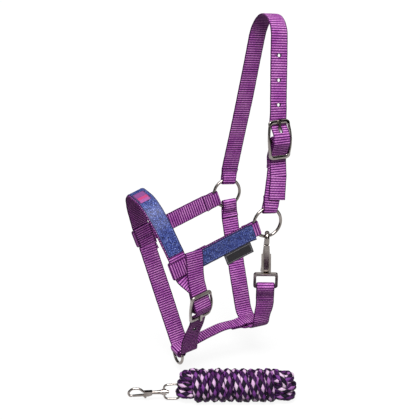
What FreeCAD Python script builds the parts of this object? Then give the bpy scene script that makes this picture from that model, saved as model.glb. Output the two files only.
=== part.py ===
import FreeCAD, Part
import math
import os

import Sketcher
from FreeCAD import Placement, Rotation, Vector

# Webbing head collar for a horse, with a braided lead rope wound into a hank.
# Frame: +Z up, the nose points to -Y, the near side (the horse's left) is +X.
# The origin is on the poll, under the middle of the crown strap. Millimetres.

SIZES = [
    # webbing
    ("webbing_width", 25.0),
    ("webbing_thickness", 2.2),
    ("gathered_width", 19.0),      # webbing drawn together where it goes round a ring
    ("cover_width", 24.0),
    ("cover_thickness", 0.9),
    ("patch_thickness", 0.5),
    ("ply_gap", 0.1),              # air between two plies sewn together
    ("wire_clearance", 0.3),       # air round a ring or bar inside a fold
    # the head it is cut for
    ("head_width", 131.0),         # between the two cheek rings, and across the noseband
    ("crown_length", 268.5),       # poll to the middle of a cheek ring
    ("crown_lean", 7.1),           # degrees, crown tipped back from upright
    ("crown_radius", 30.0),
    ("cheek_length", 134.6),       # ring middle to the middle of the noseband
    ("cheek_fall", 19.3),          # degrees, cheeks run down towards the nose
    ("nose_rise", 87.5),           # noseband's top above the cheeks
    ("chin_drop", 152.5),          # chin strap's bottom below the noseband joint
    ("chin_lean", 12.0),
    ("throat_drop", 172.6),
    ("throat_lean", 2.2),
    ("throat_setback", 3.0),
    # round wire hardware
    ("ring_diameter", 44.0),
    ("ring_wire", 4.2),
    ("dee_width", 35.4),
    ("dee_depth", 21.0),
    ("dee_wire", 4.0),
    # halter buckles
    ("buckle_length", 54.0),
    ("buckle_end_width", 32.0),
    ("buckle_middle_width", 37.5),
    ("buckle_bar", 4.0),
    ("buckle_rail", 2.6),
    ("buckle_arch", 2.5),
    ("tongue_thickness", 2.4),
    ("tongue_width", 3.4),
    ("hole_width", 4.6),
    ("worn_hole_length", 10.0),
    ("hole_pitch", 32.5),
    ("crown_buckle_drop", 154.0),
    ("crown_buckle_turn", 2.0),    # degrees, its lower end set back
    ("chin_buckle_lean", 28.0),    # degrees inwards going down
    ("chin_buckle_rise", 13.6),    # degrees, rear edge higher than the front
    ("chin_buckle_turn", 6.1),     # degrees, rear edge turned in
    # snaps
    ("snap_reach", 54.6),          # pin to the ring wire that the hook hangs on
    ("snap_eye_drop", 28.4),       # pin to the eye's lower bar
    ("snap_eye_width", 26.0),      # inside the eye
    ("snap_bar", 3.8),
    ("snap_turn", 24.0),           # degrees, the snap turned to face forwards on its ring
    ("pin_diameter", 2.2),
    ("pin_clearance", 0.06),       # on the radius
    ("gate_width", 6.4),
    # lead rope
    ("rope_diameter", 12.0),
    ("hank_diameter", 45.0),
    ("hank_length", 155.0),
    ("hank_turns", 10.0),
    ("swivel_wire", 2.8),
    ("lead_hook_wire", 3.2),
    # label
    ("label_length", 41.0),
    ("label_height", 16.0),
    ("label_thickness", 0.8),
]

doc = FreeCAD.newDocument("head_collar")
sheet = doc.addObject("Spreadsheet::Sheet", "Sizes")
for row, (alias, value) in enumerate(SIZES, start=1):
    sheet.set(f"A{row}", alias)
    sheet.set(f"B{row}", str(value))
    sheet.setAlias(f"B{row}", alias)
doc.recompute()


def size(alias):
    return float(sheet.get(alias))


WEB = size("webbing_thickness")
HALF_WEB = WEB / 2
HALF_HEAD = size("head_width") / 2
PLY = (WEB + size("ply_gap")) / 2                  # a doubled strap's ply, from its middle
STEP = WEB + size("ply_gap")                       # from one ply's middle to the next
WRAP = HALF_WEB + size("ply_gap") + HALF_WEB       # a ply wrapped round another strap
NODES = []


# ---------------------------------------------------------------- paths and sketches

def directions(corners):
    points = [Vector(x, y, 0) for x, y, radius in corners]
    return [(b - a).normalize() for a, b in zip(points, points[1:])]


def left_of(direction):
    return Vector(-direction.y, direction.x, 0)


def beside(corners, shift):
    """The same path moved sideways, to its left when shift is positive."""
    runs = directions(corners)
    moved = []
    for index, (x, y, radius) in enumerate(corners):
        before = left_of(runs[max(index - 1, 0)])
        after = left_of(runs[min(index, len(runs) - 1)])
        push = (before + after) * (shift / (1 + before.dot(after)))
        turning = before.cross(after).z
        if radius:
            radius -= shift * math.copysign(1, turning)
        moved.append((x + push.x, y + push.y, radius))
    return moved


def fitted(corners):
    """The corners again, radii cut down where two arcs need more than the run between."""
    runs = directions(corners)
    need = [0.0]
    for (x, y, radius), before, after in zip(corners[1:-1], runs, runs[1:]):
        turn = math.atan2(before.cross(after).z, before.dot(after))
        need.append(radius * math.tan(abs(turn) / 2))
    need.append(0.0)
    share = [1.0] * len(corners)
    for index, (one, two) in enumerate(zip(corners, corners[1:])):
        room = math.hypot(two[0] - one[0], two[1] - one[1])
        wanted = need[index] + need[index + 1]
        if wanted > room:
            share[index] = min(share[index], room / wanted)
            share[index + 1] = min(share[index + 1], room / wanted)
    return [(x, y, radius * part) for (x, y, radius), part in zip(corners, share)]


def path_edges(corners):
    """Straight runs joined by tangent arcs, from corners given as (x, y, radius)."""
    corners = fitted(corners)
    runs = directions(corners)
    here = Vector(corners[0][0], corners[0][1], 0)
    edges = []
    for index in range(1, len(corners) - 1):
        x, y, radius = corners[index]
        before, after = runs[index - 1], runs[index]
        turn = math.atan2(before.cross(after).z, before.dot(after))
        reach = radius * math.tan(abs(turn) / 2)
        start = Vector(x, y, 0) - before * reach
        run = (start - here).dot(before)
        if run < -1e-6:
            raise ValueError(f"corner {index} of {corners} needs {-run:.2f} mm more")
        if run > 1e-4:
            edges.append(Part.LineSegment(here, start))
        else:
            start = here
        if abs(turn) < 1e-6:
            continue
        centre = start + left_of(before) * math.copysign(radius, turn)
        spoke = start - centre
        middle = centre + Rotation(Vector(0, 0, 1), math.degrees(turn / 2)).multVec(spoke)
        end = Vector(x, y, 0) + after * reach
        edges.append(Part.Arc(start, middle, end))
        here = end
    last = Vector(corners[-1][0], corners[-1][1], 0)
    if (last - here).Length > 1e-4:
        edges.append(Part.LineSegment(here, last))
    return edges


def strip_loop(corners, thickness):
    """The closed outline of a strip that follows a path, and the place of its end cap."""
    one = path_edges(beside(corners, thickness / 2))
    other = path_edges(beside(corners, -thickness / 2))
    ends = [beside(corners, side * thickness / 2) for side in (1, -1)]
    first = [Vector(end[0][0], end[0][1], 0) for end in ends]
    last = [Vector(end[-1][0], end[-1][1], 0) for end in ends]
    cap = Part.LineSegment(last[0], last[1])
    back = Part.LineSegment(first[1], first[0])
    return one + [cap] + other[::-1] + [back], len(one)


def origin_plane(body, role):
    return next(item for item in body.Origin.OriginFeatures if item.Role == role)


def join_ends(sketch, edges):
    """Ties each edge of a loop to the next one where their ends meet."""
    ties = []
    for one, two in zip(edges, edges[1:] + edges[:1]):
        pairs = [(sketch.getPoint(one, p).distanceToPoint(sketch.getPoint(two, q)), p, q)
                 for p in (1, 2) for q in (1, 2)]
        gap, p, q = min(pairs)
        ties.append(Sketcher.Constraint("Coincident", one, p, two, q))
    sketch.addConstraint(ties)


def new_sketch(body, name, place, loops):
    """A sketch on the body's own XY plane, moved to the world placement given."""
    sketch = body.newObject("Sketcher::SketchObject", f"{body.Name}_{name}")
    sketch.AttachmentSupport = [(origin_plane(body, "XY_Plane"), "")]
    sketch.MapMode = "FlatFace"
    sketch.AttachmentOffset = body.Placement.inverse() * place
    for loop in loops:
        edges = [sketch.addGeometry(edge, False) for edge in loop]
        if len(edges) > 1:
            join_ends(sketch, edges)
    return sketch


def new_body(label, place):
    body = doc.addObject("PartDesign::Body", label)
    body.Label = label
    body.Placement = place
    NODES.append(body)
    return body


def pad(body, name, place, loops, width):
    """Loops padded evenly both ways; width is an alias of the sheet or a number."""
    feature = body.newObject("PartDesign::Pad", f"{body.Name}_{name}")
    feature.Profile = new_sketch(body, name + "_profile", place, loops)
    feature.SideType = "Symmetric"
    set_length(feature, width)
    return feature


def pocket(body, name, place, loops, depth):
    """Loops cut evenly both ways from the sketch."""
    feature = body.newObject("PartDesign::Pocket", f"{body.Name}_{name}")
    feature.Profile = new_sketch(body, name + "_profile", place, loops)
    feature.SideType = "Symmetric"
    set_length(feature, depth)
    return feature


def set_length(feature, width):
    if isinstance(width, str):
        feature.setExpression("Length", "Sizes." + width)
    else:
        feature.Length = width


def strip(body, name, place, corners, width="webbing_width", thickness="webbing_thickness"):
    """A length of flat material: its edge drawn along a path, padded to its width."""
    loop, cap = strip_loop(corners, size(thickness))
    feature = pad(body, name, place, [loop], width)
    edge = feature.Profile[0]
    edge.addConstraint(Sketcher.Constraint("Distance", cap, size(thickness)))
    edge.renameConstraint(edge.ConstraintCount - 1, "thickness")
    edge.setExpression("Constraints.thickness", "Sizes." + thickness)
    return feature


def polygon(points):
    corners = [Vector(x, y, 0) for x, y in points]
    return [Part.LineSegment(a, b) for a, b in zip(corners, corners[1:] + corners[:1])]


def circle(x, y, radius):
    return [Part.Circle(Vector(x, y, 0), Vector(0, 0, 1), radius)]


def slot_loop(length, width):
    """A slot centred on the sketch, long way along Y."""
    r = width / 2
    end = length / 2 - r
    return [
        Part.LineSegment(Vector(r, -end, 0), Vector(r, end, 0)),
        Part.Arc(Vector(r, end, 0), Vector(0, end + r, 0), Vector(-r, end, 0)),
        Part.LineSegment(Vector(-r, end, 0), Vector(-r, -end, 0)),
        Part.Arc(Vector(-r, -end, 0), Vector(0, -end - r, 0), Vector(r, -end, 0)),
    ]


def axes_placement(origin, x_axis, y_axis):
    """A placement whose X and Y axes point the ways given."""
    z_axis = x_axis.cross(y_axis)
    return Placement(origin, Rotation(x_axis, y_axis, z_axis, "XYZ"))


# ---------------------------------------------------------------- the straps' planes

def leaning(origin, lean):
    """A strap's plane: X across the head, Y up the strap, tipped towards the nose."""
    return Placement(origin, Rotation(Vector(1, 0, 0), 90 + lean))


CROWN = leaning(Vector(0, 0, 0), -size("crown_lean"))
RING_LINE = CROWN.multVec(Vector(0, -size("crown_length"), 0))
CHEEK = leaning(RING_LINE, size("cheek_fall") - 90)
NOSE_LINE = CHEEK.multVec(Vector(0, -size("cheek_length"), 0))
NOSE = leaning(NOSE_LINE, size("cheek_fall"))
CHIN = leaning(NOSE_LINE, size("chin_lean"))
CHIN_BOTTOM = CHIN.multVec(Vector(0, -size("chin_drop"), 0))
THROAT = leaning(RING_LINE + Vector(0, size("throat_setback"), 0), size("throat_lean"))
THROAT_BOTTOM = THROAT.multVec(Vector(0, -size("throat_drop"), 0))

RING_OUTER = size("ring_diameter") / 2
RING_WIRE = size("ring_wire")
RING_MIDDLE = RING_OUTER - RING_WIRE / 2
SLOT = RING_WIRE / 2 + size("wire_clearance") + HALF_WEB     # fold radius round the wire
SPREAD_START = RING_OUTER + 1.0                              # plies start to close up here
SPREAD_END = RING_OUTER + 9.0


def fold_reach(offset=0.0):
    """How far from a ring's middle the ply inside the fold lies, for a loop set aside."""
    edge = size("gathered_width") / 2 + offset
    inside = math.sqrt((RING_OUTER - RING_WIRE) ** 2 - edge ** 2)
    return inside - size("wire_clearance") - HALF_WEB


class Spot:
    """Measures from one piece of hardware, turned into corners of a strap's path."""

    def __init__(self, x, y, along, outward):
        self.x, self.y = x, y
        self.along = Vector(*along, 0).normalize()
        self.outward = Vector(*outward, 0)
        self.outward = (self.outward - self.along * self.along.dot(self.outward)).normalize()

    def corner(self, out, along, radius=0.0):
        place = self.outward * out + self.along * along
        return (self.x + place.x, self.y + place.y, radius)


def loop_corners(spot, tail, fold, slot, start, end, lean=0.0):
    """A strap's end folded round a wire, from the tail to where the long ply leaves.

    Lean is how far both plies step inwards for each millimetre they run, past the fold.
    """
    return [
        spot.corner(-PLY - lean * (tail - end), tail),
        spot.corner(-PLY, end, 12),
        spot.corner(-slot, start, 6),
        spot.corner(-slot, fold, slot),
        spot.corner(slot, fold, slot),
        spot.corner(slot, start, 6),
        spot.corner(PLY, end, 12),
    ]


def ring_loop(spot, tail=48.0, offset=0.0, lean=0.0):
    return loop_corners(spot, tail, fold_reach(offset), SLOT, SPREAD_START, SPREAD_END, lean)


def gather(body, name, place, spot, reach=SPREAD_END + 4):
    """Trims both edges of a loop, where the webbing is drawn together on the ring."""
    centre = place.multVec(Vector(spot.x, spot.y, 0))
    along = place.Rotation.multVec(spot.along)
    across = place.Rotation.multVec(Vector(0, 0, 1))
    cut_plane = axes_placement(centre, along, across)
    inner = size("gathered_width") / 2
    outer = size("webbing_width") / 2
    wedges = [polygon([(-8, side * inner), (RING_OUTER, side * inner),
                       (reach, side * (outer + 0.2)), (reach, side * (outer + 6)),
                       (-8, side * (outer + 6))]) for side in (1, -1)]
    pocket(body, name, cut_plane, wedges, 24.0)


# ---------------------------------------------------------------- cheek rings

def wire_ring(label, outer, wire, place):
    ring = doc.addObject("Part::Torus", label)
    ring.Label = label
    ring.setExpression("Radius1", f"(Sizes.{outer} - Sizes.{wire}) / 2")
    ring.setExpression("Radius2", f"Sizes.{wire} / 2")
    ring.Placement = place
    NODES.append(ring)
    return ring


FACING_SIDE = Rotation(Vector(0, 1, 0), 90)
NEAR_RING = RING_LINE + Vector(HALF_HEAD, 0, 0)
OFF_RING = RING_LINE - Vector(HALF_HEAD, 0, 0)
wire_ring("near_ring", "ring_diameter", "ring_wire", Placement(NEAR_RING, FACING_SIDE))
wire_ring("off_ring", "ring_diameter", "ring_wire", Placement(OFF_RING, FACING_SIDE))


# ---------------------------------------------------------------- buckles
# Buckle measures run outwards from the horse and along the strap, from the middle bar.
# The free end of the strap comes in on the + side; the doubled chape hangs on the - side.

BAR = size("buckle_bar") / 2
BUCKLE_REACH = size("buckle_length") / 2 - BAR               # to the middle of an end bar
SINK = BAR + size("buckle_arch") + size("wire_clearance") + 0.15 + HALF_WEB
CHAPE_FOLD = BAR + 0.45 + HALF_WEB
RISE = CHAPE_FOLD + STEP


def billet_corners(spot):
    """The free end's way through: under an end bar, over the middle, under the other."""
    return [
        spot.corner(-SINK - 0.3, BUCKLE_REACH - 4.0, 12),
        spot.corner(RISE, 7.0, 8),
        spot.corner(RISE, -4.5, 8),
        spot.corner(-SINK - 1.5, -BUCKLE_REACH - 1.5, 10),
    ]


def chape_corners(spot, far_corner, tail):
    """The chape's tail, its fold round the middle bar and its long ply under the billet."""
    inward = -STEP if spot.outward.cross(spot.along).z > 0 else STEP
    over = billet_corners(spot)[1:] + [far_corner]
    outer = beside(over, inward)[1:3]
    bend, onward = beside(over, 2 * inward + math.copysign(0.6, inward))[2:]
    run = Vector(onward[0] - bend[0], onward[1] - bend[1], 0).normalize() * tail
    return [
        (bend[0] + run.x, bend[1] + run.y, 0),
        bend,
        spot.corner(-CHAPE_FOLD, -3.0, 8),
        spot.corner(-CHAPE_FOLD, CHAPE_FOLD, CHAPE_FOLD),
        spot.corner(CHAPE_FOLD, CHAPE_FOLD, CHAPE_FOLD),
    ] + outer


def buckle_frame(label, place):
    """A cast centre-bar frame, arched outwards, barrel-shaped, with a round middle bar."""
    body = new_body(label, place)
    reach = size("buckle_length") / 2
    arch = size("buckle_arch")
    bend = (BUCKLE_REACH ** 2 + arch ** 2) / (2 * arch)
    stock = []
    for radius in (bend + BAR * 0.9, bend - BAR * 0.9):
        drop = radius - math.sqrt(radius ** 2 - reach ** 2)
        top = radius - bend
        stock.append([Vector(top - drop, reach, 0), Vector(top, 0, 0),
                      Vector(top - drop, -reach, 0)])
    outside, inside = stock
    side = [
        Part.Arc(*outside),
        Part.LineSegment(outside[2], inside[2]),
        Part.Arc(*inside[::-1]),
        Part.LineSegment(inside[0], outside[0]),
    ]
    pad(body, "stock", place, [side], "buckle_middle_width")
    face = place * Placement(Vector(0, 0, 0), Rotation(Vector(0, 1, 0), 90))
    end = size("buckle_end_width") / 2
    middle = size("buckle_middle_width") / 2
    beyond = reach + 3
    for side, name in ((1, "near_flank"), (-1, "far_flank")):
        flank = [
            Part.Arc(Vector(side * end, reach, 0), Vector(side * middle, 0, 0),
                     Vector(side * end, -reach, 0)),
            Part.LineSegment(Vector(side * end, -reach, 0), Vector(side * end, -beyond, 0)),
            Part.LineSegment(Vector(side * end, -beyond, 0),
                             Vector(side * (middle + 5), -beyond, 0)),
            Part.LineSegment(Vector(side * (middle + 5), -beyond, 0),
                             Vector(side * (middle + 5), beyond, 0)),
            Part.LineSegment(Vector(side * (middle + 5), beyond, 0),
                             Vector(side * end, beyond, 0)),
            Part.LineSegment(Vector(side * end, beyond, 0), Vector(side * end, reach, 0)),
        ]
        pocket(body, name, face, [flank], 40.0)
    rail = size("buckle_rail")
    inner_reach = reach - 2 * BAR
    bulge = (middle - end) * (inner_reach / reach) ** 2
    inner_end = middle - rail - bulge
    window = [
        Part.LineSegment(Vector(-inner_end, inner_reach, 0), Vector(inner_end, inner_reach, 0)),
        Part.Arc(Vector(inner_end, inner_reach, 0), Vector(middle - rail, 0, 0),
                 Vector(inner_end, -inner_reach, 0)),
        Part.LineSegment(Vector(inner_end, -inner_reach, 0), Vector(-inner_end, -inner_reach, 0)),
        Part.Arc(Vector(-inner_end, -inner_reach, 0), Vector(-middle + rail, 0, 0),
                 Vector(-inner_end, inner_reach, 0)),
    ]
    pocket(body, "window", face, [window], 40.0)
    pad(body, "middle_bar", place, [circle(0, 0, BAR)], 2 * (middle - rail / 2))
    return body


def buckle_tongue(label, place):
    """The stamped tongue: an eye on the middle bar and an arm resting on the end bar."""
    body = new_body(label, place)
    bore = BAR + size("pin_clearance")
    thick = size("tongue_thickness")
    eye = [circle(0, 0, bore + 1.5), circle(0, 0, bore)]
    pad(body, "eye", place, eye, "tongue_width")
    rest = -size("buckle_arch") + BAR * 0.9 + 0.55 + thick / 2
    arm = [(0.3, bore + 0.7, 0), (1.1, BUCKLE_REACH * 0.6, 60),
           (rest, BUCKLE_REACH + 3.2, 0)]
    strip(body, "arm", place, arm, "tongue_width", "tongue_thickness")
    return body


def punch(body, name, place, spot, out, along, tilt, length):
    """One melted hole; tilt turns it square to the strap's slope there."""
    x, y, radius = spot.corner(out, along)
    centre = place.multVec(Vector(x, y, 0))
    slope = Rotation(Vector(0, 0, 1), tilt)
    forward = place.Rotation.multVec(slope.multVec(spot.along))
    across = place.Rotation.multVec(Vector(0, 0, 1))
    hole_plane = axes_placement(centre, across, forward)
    pocket(body, name, hole_plane, [slot_loop(length, size("hole_width"))], 9.0)


# crown buckle, in the crown's plane
CROWN_BUCKLE = Spot(HALF_HEAD - 1.5, -size("crown_buckle_drop"), (-0.073, 1.0), (1.0, 0.0))
NEAR_RING_SPOT = Spot(HALF_HEAD, -size("crown_length"), (0, 1), (1, 0))


def spot_placement(place, spot):
    """The buckle's own frame: X outwards, Y along the strap."""
    turn = Placement(Vector(spot.x, spot.y, 0),
                     Rotation(spot.outward, spot.along, spot.outward.cross(spot.along), "XYZ"))
    return place * turn


SET_BACK = 1.0                                     # the buckle, from the strap's middle
crown_buckle_place = spot_placement(CROWN, CROWN_BUCKLE) * Placement(
    Vector(0, 0, -SET_BACK), Rotation(Vector(1, 0, 0), size("crown_buckle_turn")))
buckle_frame("crown_buckle_frame", crown_buckle_place)
buckle_tongue("crown_buckle_tongue", crown_buckle_place)

# chin buckle: its plane leans in, rises to the rear and turns in with the jaw
rise, turn, lean = (math.radians(size("chin_buckle_" + word)) for word in ("rise", "turn", "lean"))
ACROSS = Vector(-math.sin(turn) * math.cos(rise), math.cos(turn) * math.cos(rise), math.sin(rise))
sideways = (Vector(1, 0, 0) - ACROSS * ACROSS.x).normalize()
upward = sideways.cross(ACROSS)
CHIN_ALONG = sideways * -math.sin(lean) - upward * math.cos(lean)
CHIN_OUT = sideways * math.cos(lean) - upward * math.sin(lean)
CHIN_BUCKLE_CENTRE = Vector(HALF_HEAD + 5.5, NOSE_LINE.y + 27.2, NOSE_LINE.z - 60.2)
chin_buckle_place = axes_placement(CHIN_BUCKLE_CENTRE, CHIN_OUT, CHIN_ALONG)
CHIN_BUCKLE = Spot(0, 0, (0, 1), (1, 0))
AWAY = Vector(-0.5, -0.85, 0).normalize()          # the straps leave it on a slant, inwards
last_bend = billet_corners(CHIN_BUCKLE)[-1]
billet_away = (last_bend[0] + 7 * AWAY.x, last_bend[1] + 7 * AWAY.y, 0)
buckle_frame("chin_buckle_frame", chin_buckle_place)
buckle_tongue("chin_buckle_tongue", chin_buckle_place)


# ---------------------------------------------------------------- crown strap and chape

crown_strap = new_body("crown_strap", CROWN)
OFF_CROWN_SPOT = Spot(-HALF_HEAD, -size("crown_length"), (0, 1), (-1, 0))
shoulder = 26.0
billet_end = NEAR_RING_SPOT.corner(PLY + STEP + 0.2, SPREAD_END + 1.5)
crown_path = ring_loop(OFF_CROWN_SPOT, lean=0.19) + [
    (-HALF_HEAD + 19.5, -128, 150),
    (-29, -17, 50),
    (-7, HALF_WEB, 24),
    (shoulder, HALF_WEB, size("crown_radius")),
    CROWN_BUCKLE.corner(-SINK, 39, 110),
] + billet_corners(CROWN_BUCKLE) + [billet_end]
strip(crown_strap, "web", CROWN, crown_path)
gather(crown_strap, "gathered", CROWN, OFF_CROWN_SPOT)

run_top = Vector(shoulder, HALF_WEB, 0)
run_bottom = Vector(*CROWN_BUCKLE.corner(-SINK, 39)[:2], 0)
run_spot = Spot(run_bottom.x, run_bottom.y, tuple(run_top - run_bottom)[:2], (1, 0))
TONGUE_HOLE = 13.4                                 # where the tongue crosses the billet
HOLE_TILT = 38                                     # degrees, the billet slopes there
hole_plane = CROWN * Placement(Vector(0, 0, -SET_BACK), Rotation())
punch(crown_strap, "worn_hole", hole_plane, CROWN_BUCKLE, 0.6, TONGUE_HOLE, HOLE_TILT,
      size("worn_hole_length"))
for number in range(3):
    gap = size("hole_pitch") * (number + 1) + TONGUE_HOLE - 39
    punch(crown_strap, f"hole_{number + 1}", CROWN, run_spot, 0, gap, 0, size("hole_width") + 0.2)

crown_chape = new_body("crown_chape", CROWN)
chape_near_ring = ring_loop(NEAR_RING_SPOT, 44.0, lean=0.2)[::-1]
chape_path = chape_corners(CROWN_BUCKLE, billet_end, 16.0) + chape_near_ring
strip(crown_chape, "web", CROWN, chape_path)
gather(crown_chape, "gathered", CROWN, NEAR_RING_SPOT)
tongue_slot = crown_buckle_place * Placement(Vector(0, 1.5, 0), Rotation(Vector(0, 1, 0), 90))
pocket(crown_chape, "tongue_slot", tongue_slot, [slot_loop(14.0, 5.0)], 14.0)


# ---------------------------------------------------------------- cheek straps

NOSEBAND_EDGE = size("cheek_length") - size("webbing_width") / 2
NOSEBAND_FRONT = size("cheek_length") + size("webbing_width") / 2


def cheek_corners(spot):
    """Ring loop, the long ply outside, and a wrap round the noseband sewn back inside."""
    front = NOSEBAND_FRONT + WRAP - 0.4
    wrap = [
        spot.corner(PLY, NOSEBAND_EDGE - 9, 12),
        spot.corner(WRAP, NOSEBAND_EDGE - 3, 12),
        spot.corner(WRAP, front, WRAP),
        spot.corner(-WRAP, front, WRAP),
        spot.corner(-WRAP, NOSEBAND_EDGE - 3, 12),
        spot.corner(-PLY, NOSEBAND_EDGE - 9, 12),
        spot.corner(-PLY, NOSEBAND_EDGE - 30),
    ]
    return ring_loop(spot) + wrap


NEAR_CHEEK = Spot(HALF_HEAD, 0, (0, -1), (1, 0))
OFF_CHEEK = Spot(-HALF_HEAD, 0, (0, -1), (-1, 0))
for label, spot in (("near_cheek_strap", NEAR_CHEEK), ("off_cheek_strap", OFF_CHEEK)):
    cheek_strap = new_body(label, CHEEK)
    strip(cheek_strap, "web", CHEEK, cheek_corners(spot))
    gather(cheek_strap, "gathered", CHEEK, spot)

COVER_LIFT = HALF_WEB + 0.05 + size("cover_thickness") / 2
near_cover = new_body("near_cheek_overlay", CHEEK)
cover_under = [NEAR_CHEEK.corner(SLOT, SPREAD_START), NEAR_CHEEK.corner(PLY, SPREAD_END, 12),
               NEAR_CHEEK.corner(PLY, 111.5)]
strip(near_cover, "cover", CHEEK, beside(cover_under, COVER_LIFT), "cover_width", "cover_thickness")

LABEL_START = 33.0
label_seat = CHEEK * Placement(Vector(HALF_HEAD + PLY + COVER_LIFT, -LABEL_START, 0),
                               Rotation(Vector(0, 1, 0), 90))
label_top = -size("cover_width") / 2 + 3.4
notch = [(-label_top - 0.1, 0.3), (14, 0.3),
         (14, -size("label_length") - 0.3), (-label_top - 0.1, -size("label_length") - 0.3)]
pocket(near_cover, "label_notch", label_seat, [polygon(notch)], 4.0)

label = doc.addObject("Part::Box", "label_tab")
label.Label = "label_tab"
label.setExpression("Length", "Sizes.label_thickness")
label.setExpression("Width", "Sizes.label_length")
label.setExpression("Height", "Sizes.label_height")
label.Placement = CHEEK * Placement(
    Vector(HALF_HEAD + PLY + HALF_WEB + 0.05, -LABEL_START - size("label_length"),
           label_top - size("label_height")), Rotation())
NODES.append(label)


# ---------------------------------------------------------------- noseband

def station(centre, along, across):
    """Where a twisted strap is cut across: its middle, and the plane of that cut."""
    across = (across - along * along.dot(across) / along.dot(along)).normalize()
    return axes_placement(centre, across.cross(along).normalize(), across)


def twist(body, name, stations):
    """Webbing that turns on its way: lofted through its section at each station."""
    half_width = size("webbing_width") / 2
    sections = []
    for number, place in enumerate(stations):
        loop = polygon([(-HALF_WEB, -half_width), (HALF_WEB, -half_width),
                        (HALF_WEB, half_width), (-HALF_WEB, half_width)])
        section = new_sketch(body, f"{name}_section_{number}", place, [loop])
        section.addConstraint(Sketcher.Constraint("Distance", 0, WEB))
        section.renameConstraint(section.ConstraintCount - 1, "thickness")
        section.setExpression("Constraints.thickness", "Sizes.webbing_thickness")
        sections.append(section)
    loft = body.newObject("PartDesign::AdditiveLoft", f"{body.Name}_{name}")
    loft.Profile = sections[0]
    loft.Sections = sections[1:]
    return loft


def in_plane(place, x, y):
    return place.multVec(Vector(x, y, 0))


def plane_across(place):
    return place.Rotation.multVec(Vector(0, 0, -1))


noseband = new_body("noseband_strap", NOSE)
NOSE_RISE = size("nose_rise")
CHIN_SLOPE = (HALF_HEAD - 16.5) / size("chin_drop") * 0.965
nose_arch = [
    (-HALF_HEAD, 17, 30),
    (-HALF_HEAD + 13.0, NOSE_RISE - 34, 50),
    (-30, NOSE_RISE, 40),
    (30, NOSE_RISE, 40),
    (HALF_HEAD - 13.0, NOSE_RISE - 34, 50),
    (HALF_HEAD, 17, 30),
]
LEG_TOP = 14.0
LAP = 0.6                                          # a twist begins this far inside its neighbour
TAIL_GAP = STEP + 0.3
off_tail = [(-HALF_HEAD + CHIN_SLOPE * 26 - TAIL_GAP - 0.4, -26, 0), (-HALF_HEAD, -13.5, 10)]
strip(noseband, "web", NOSE, off_tail + nose_arch + [(HALF_HEAD, -LEG_TOP, 0)])

chin_chape = chape_corners(CHIN_BUCKLE, billet_away, 6.5)
chape_top = beside([billet_corners(CHIN_BUCKLE)[-1], billet_away], -STEP)[-1]
strip(noseband, "chape", chin_buckle_place, chin_chape + [chape_top])
leg_start = in_plane(NOSE, HALF_HEAD, -LEG_TOP + LAP)
leg_end = in_plane(chin_buckle_place, chape_top[0] - LAP * AWAY.x, chape_top[1] - LAP * AWAY.y)
down_leg = NOSE.Rotation.multVec(Vector(0, -1, 0))
into_buckle = chin_buckle_place.Rotation.multVec(-AWAY)
twist(noseband, "twist", [
    station(leg_start, down_leg, plane_across(NOSE)),
    station((leg_start + leg_end) / 2, leg_end - leg_start, ACROSS + plane_across(NOSE)),
    station(leg_end, into_buckle, ACROSS),
])
chin_slot = chin_buckle_place * Placement(Vector(0, 1.5, 0), Rotation(Vector(0, 1, 0), 90))
pocket(noseband, "tongue_slot", chin_slot, [slot_loop(14.0, 5.0)], 14.0)

nose_cover = new_body("nose_overlay", NOSE)
share = 3.0 / (NOSE_RISE - 51)
cover_end = (HALF_HEAD - 13.0 * share, 20.0, 0)
cover_path = [(-cover_end[0], cover_end[1], 0)] + nose_arch[1:-1] + [cover_end]
strip(nose_cover, "cover", NOSE, beside(cover_path, COVER_LIFT), "cover_width", "cover_thickness")

patch = new_body("nose_patch", NOSE)
patch_lift = COVER_LIFT + size("cover_thickness") / 2 + 0.05 + size("patch_thickness") / 2
patch_bend = 40 + patch_lift
patch_turn = math.radians(27)
flat_end = 30 - 40 * math.tan(math.atan2(34, HALF_HEAD - 43.0) / 2)
patch_top = NOSE_RISE + patch_lift
patch_corner = flat_end + patch_bend * math.tan(patch_turn / 2)
patch_path = [
    (-flat_end, patch_top, 0),
    (patch_corner, patch_top, patch_bend),
    (flat_end + patch_bend * math.sin(patch_turn),
     patch_top - patch_bend * (1 - math.cos(patch_turn)), 0),
]
strip(patch, "patch", NOSE, patch_path, 22.0, "patch_thickness")


# ---------------------------------------------------------------- chin strap

chin_strap = new_body("chin_strap", CHIN)
DROP = size("chin_drop")
chin_top = 14.5
chin_path = [(-HALF_HEAD + chin_top * (HALF_HEAD - 16.5) / DROP, -chin_top, 0),
             (-16.5, -DROP, 6.5), (19, -DROP, 8), (29, -DROP + 18.4, 0)]
strip(chin_strap, "web", CHIN, chin_path)
billet = billet_corners(CHIN_BUCKLE)
billet_in = (-SINK, BUCKLE_REACH + 4.0, 0)
strip(chin_strap, "billet", chin_buckle_place, [billet_in] + billet + [billet_away])
punch(chin_strap, "worn_hole", chin_buckle_place, CHIN_BUCKLE, 0.6, TONGUE_HOLE, HOLE_TILT,
      size("worn_hole_length"))
low = in_plane(CHIN, 29, -DROP + 18.4)
high = in_plane(chin_buckle_place, *billet_in[:2])
climb = CHIN.Rotation.multVec(Vector(10, 18.4, 0))
twist(chin_strap, "lower_twist", [
    station(low, climb, plane_across(CHIN)),
    station(low * 0.5 + high * 0.5 + Vector(0.8, 0, -0.8), high - low, plane_across(CHIN)),
    station(high, -CHIN_ALONG, ACROSS),
])
leaves = in_plane(chin_buckle_place, *billet_away[:2])
tip = Vector(HALF_HEAD + 12.0, NOSE_LINE.y + 14.0, NOSE_LINE.z + 25.5)
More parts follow.
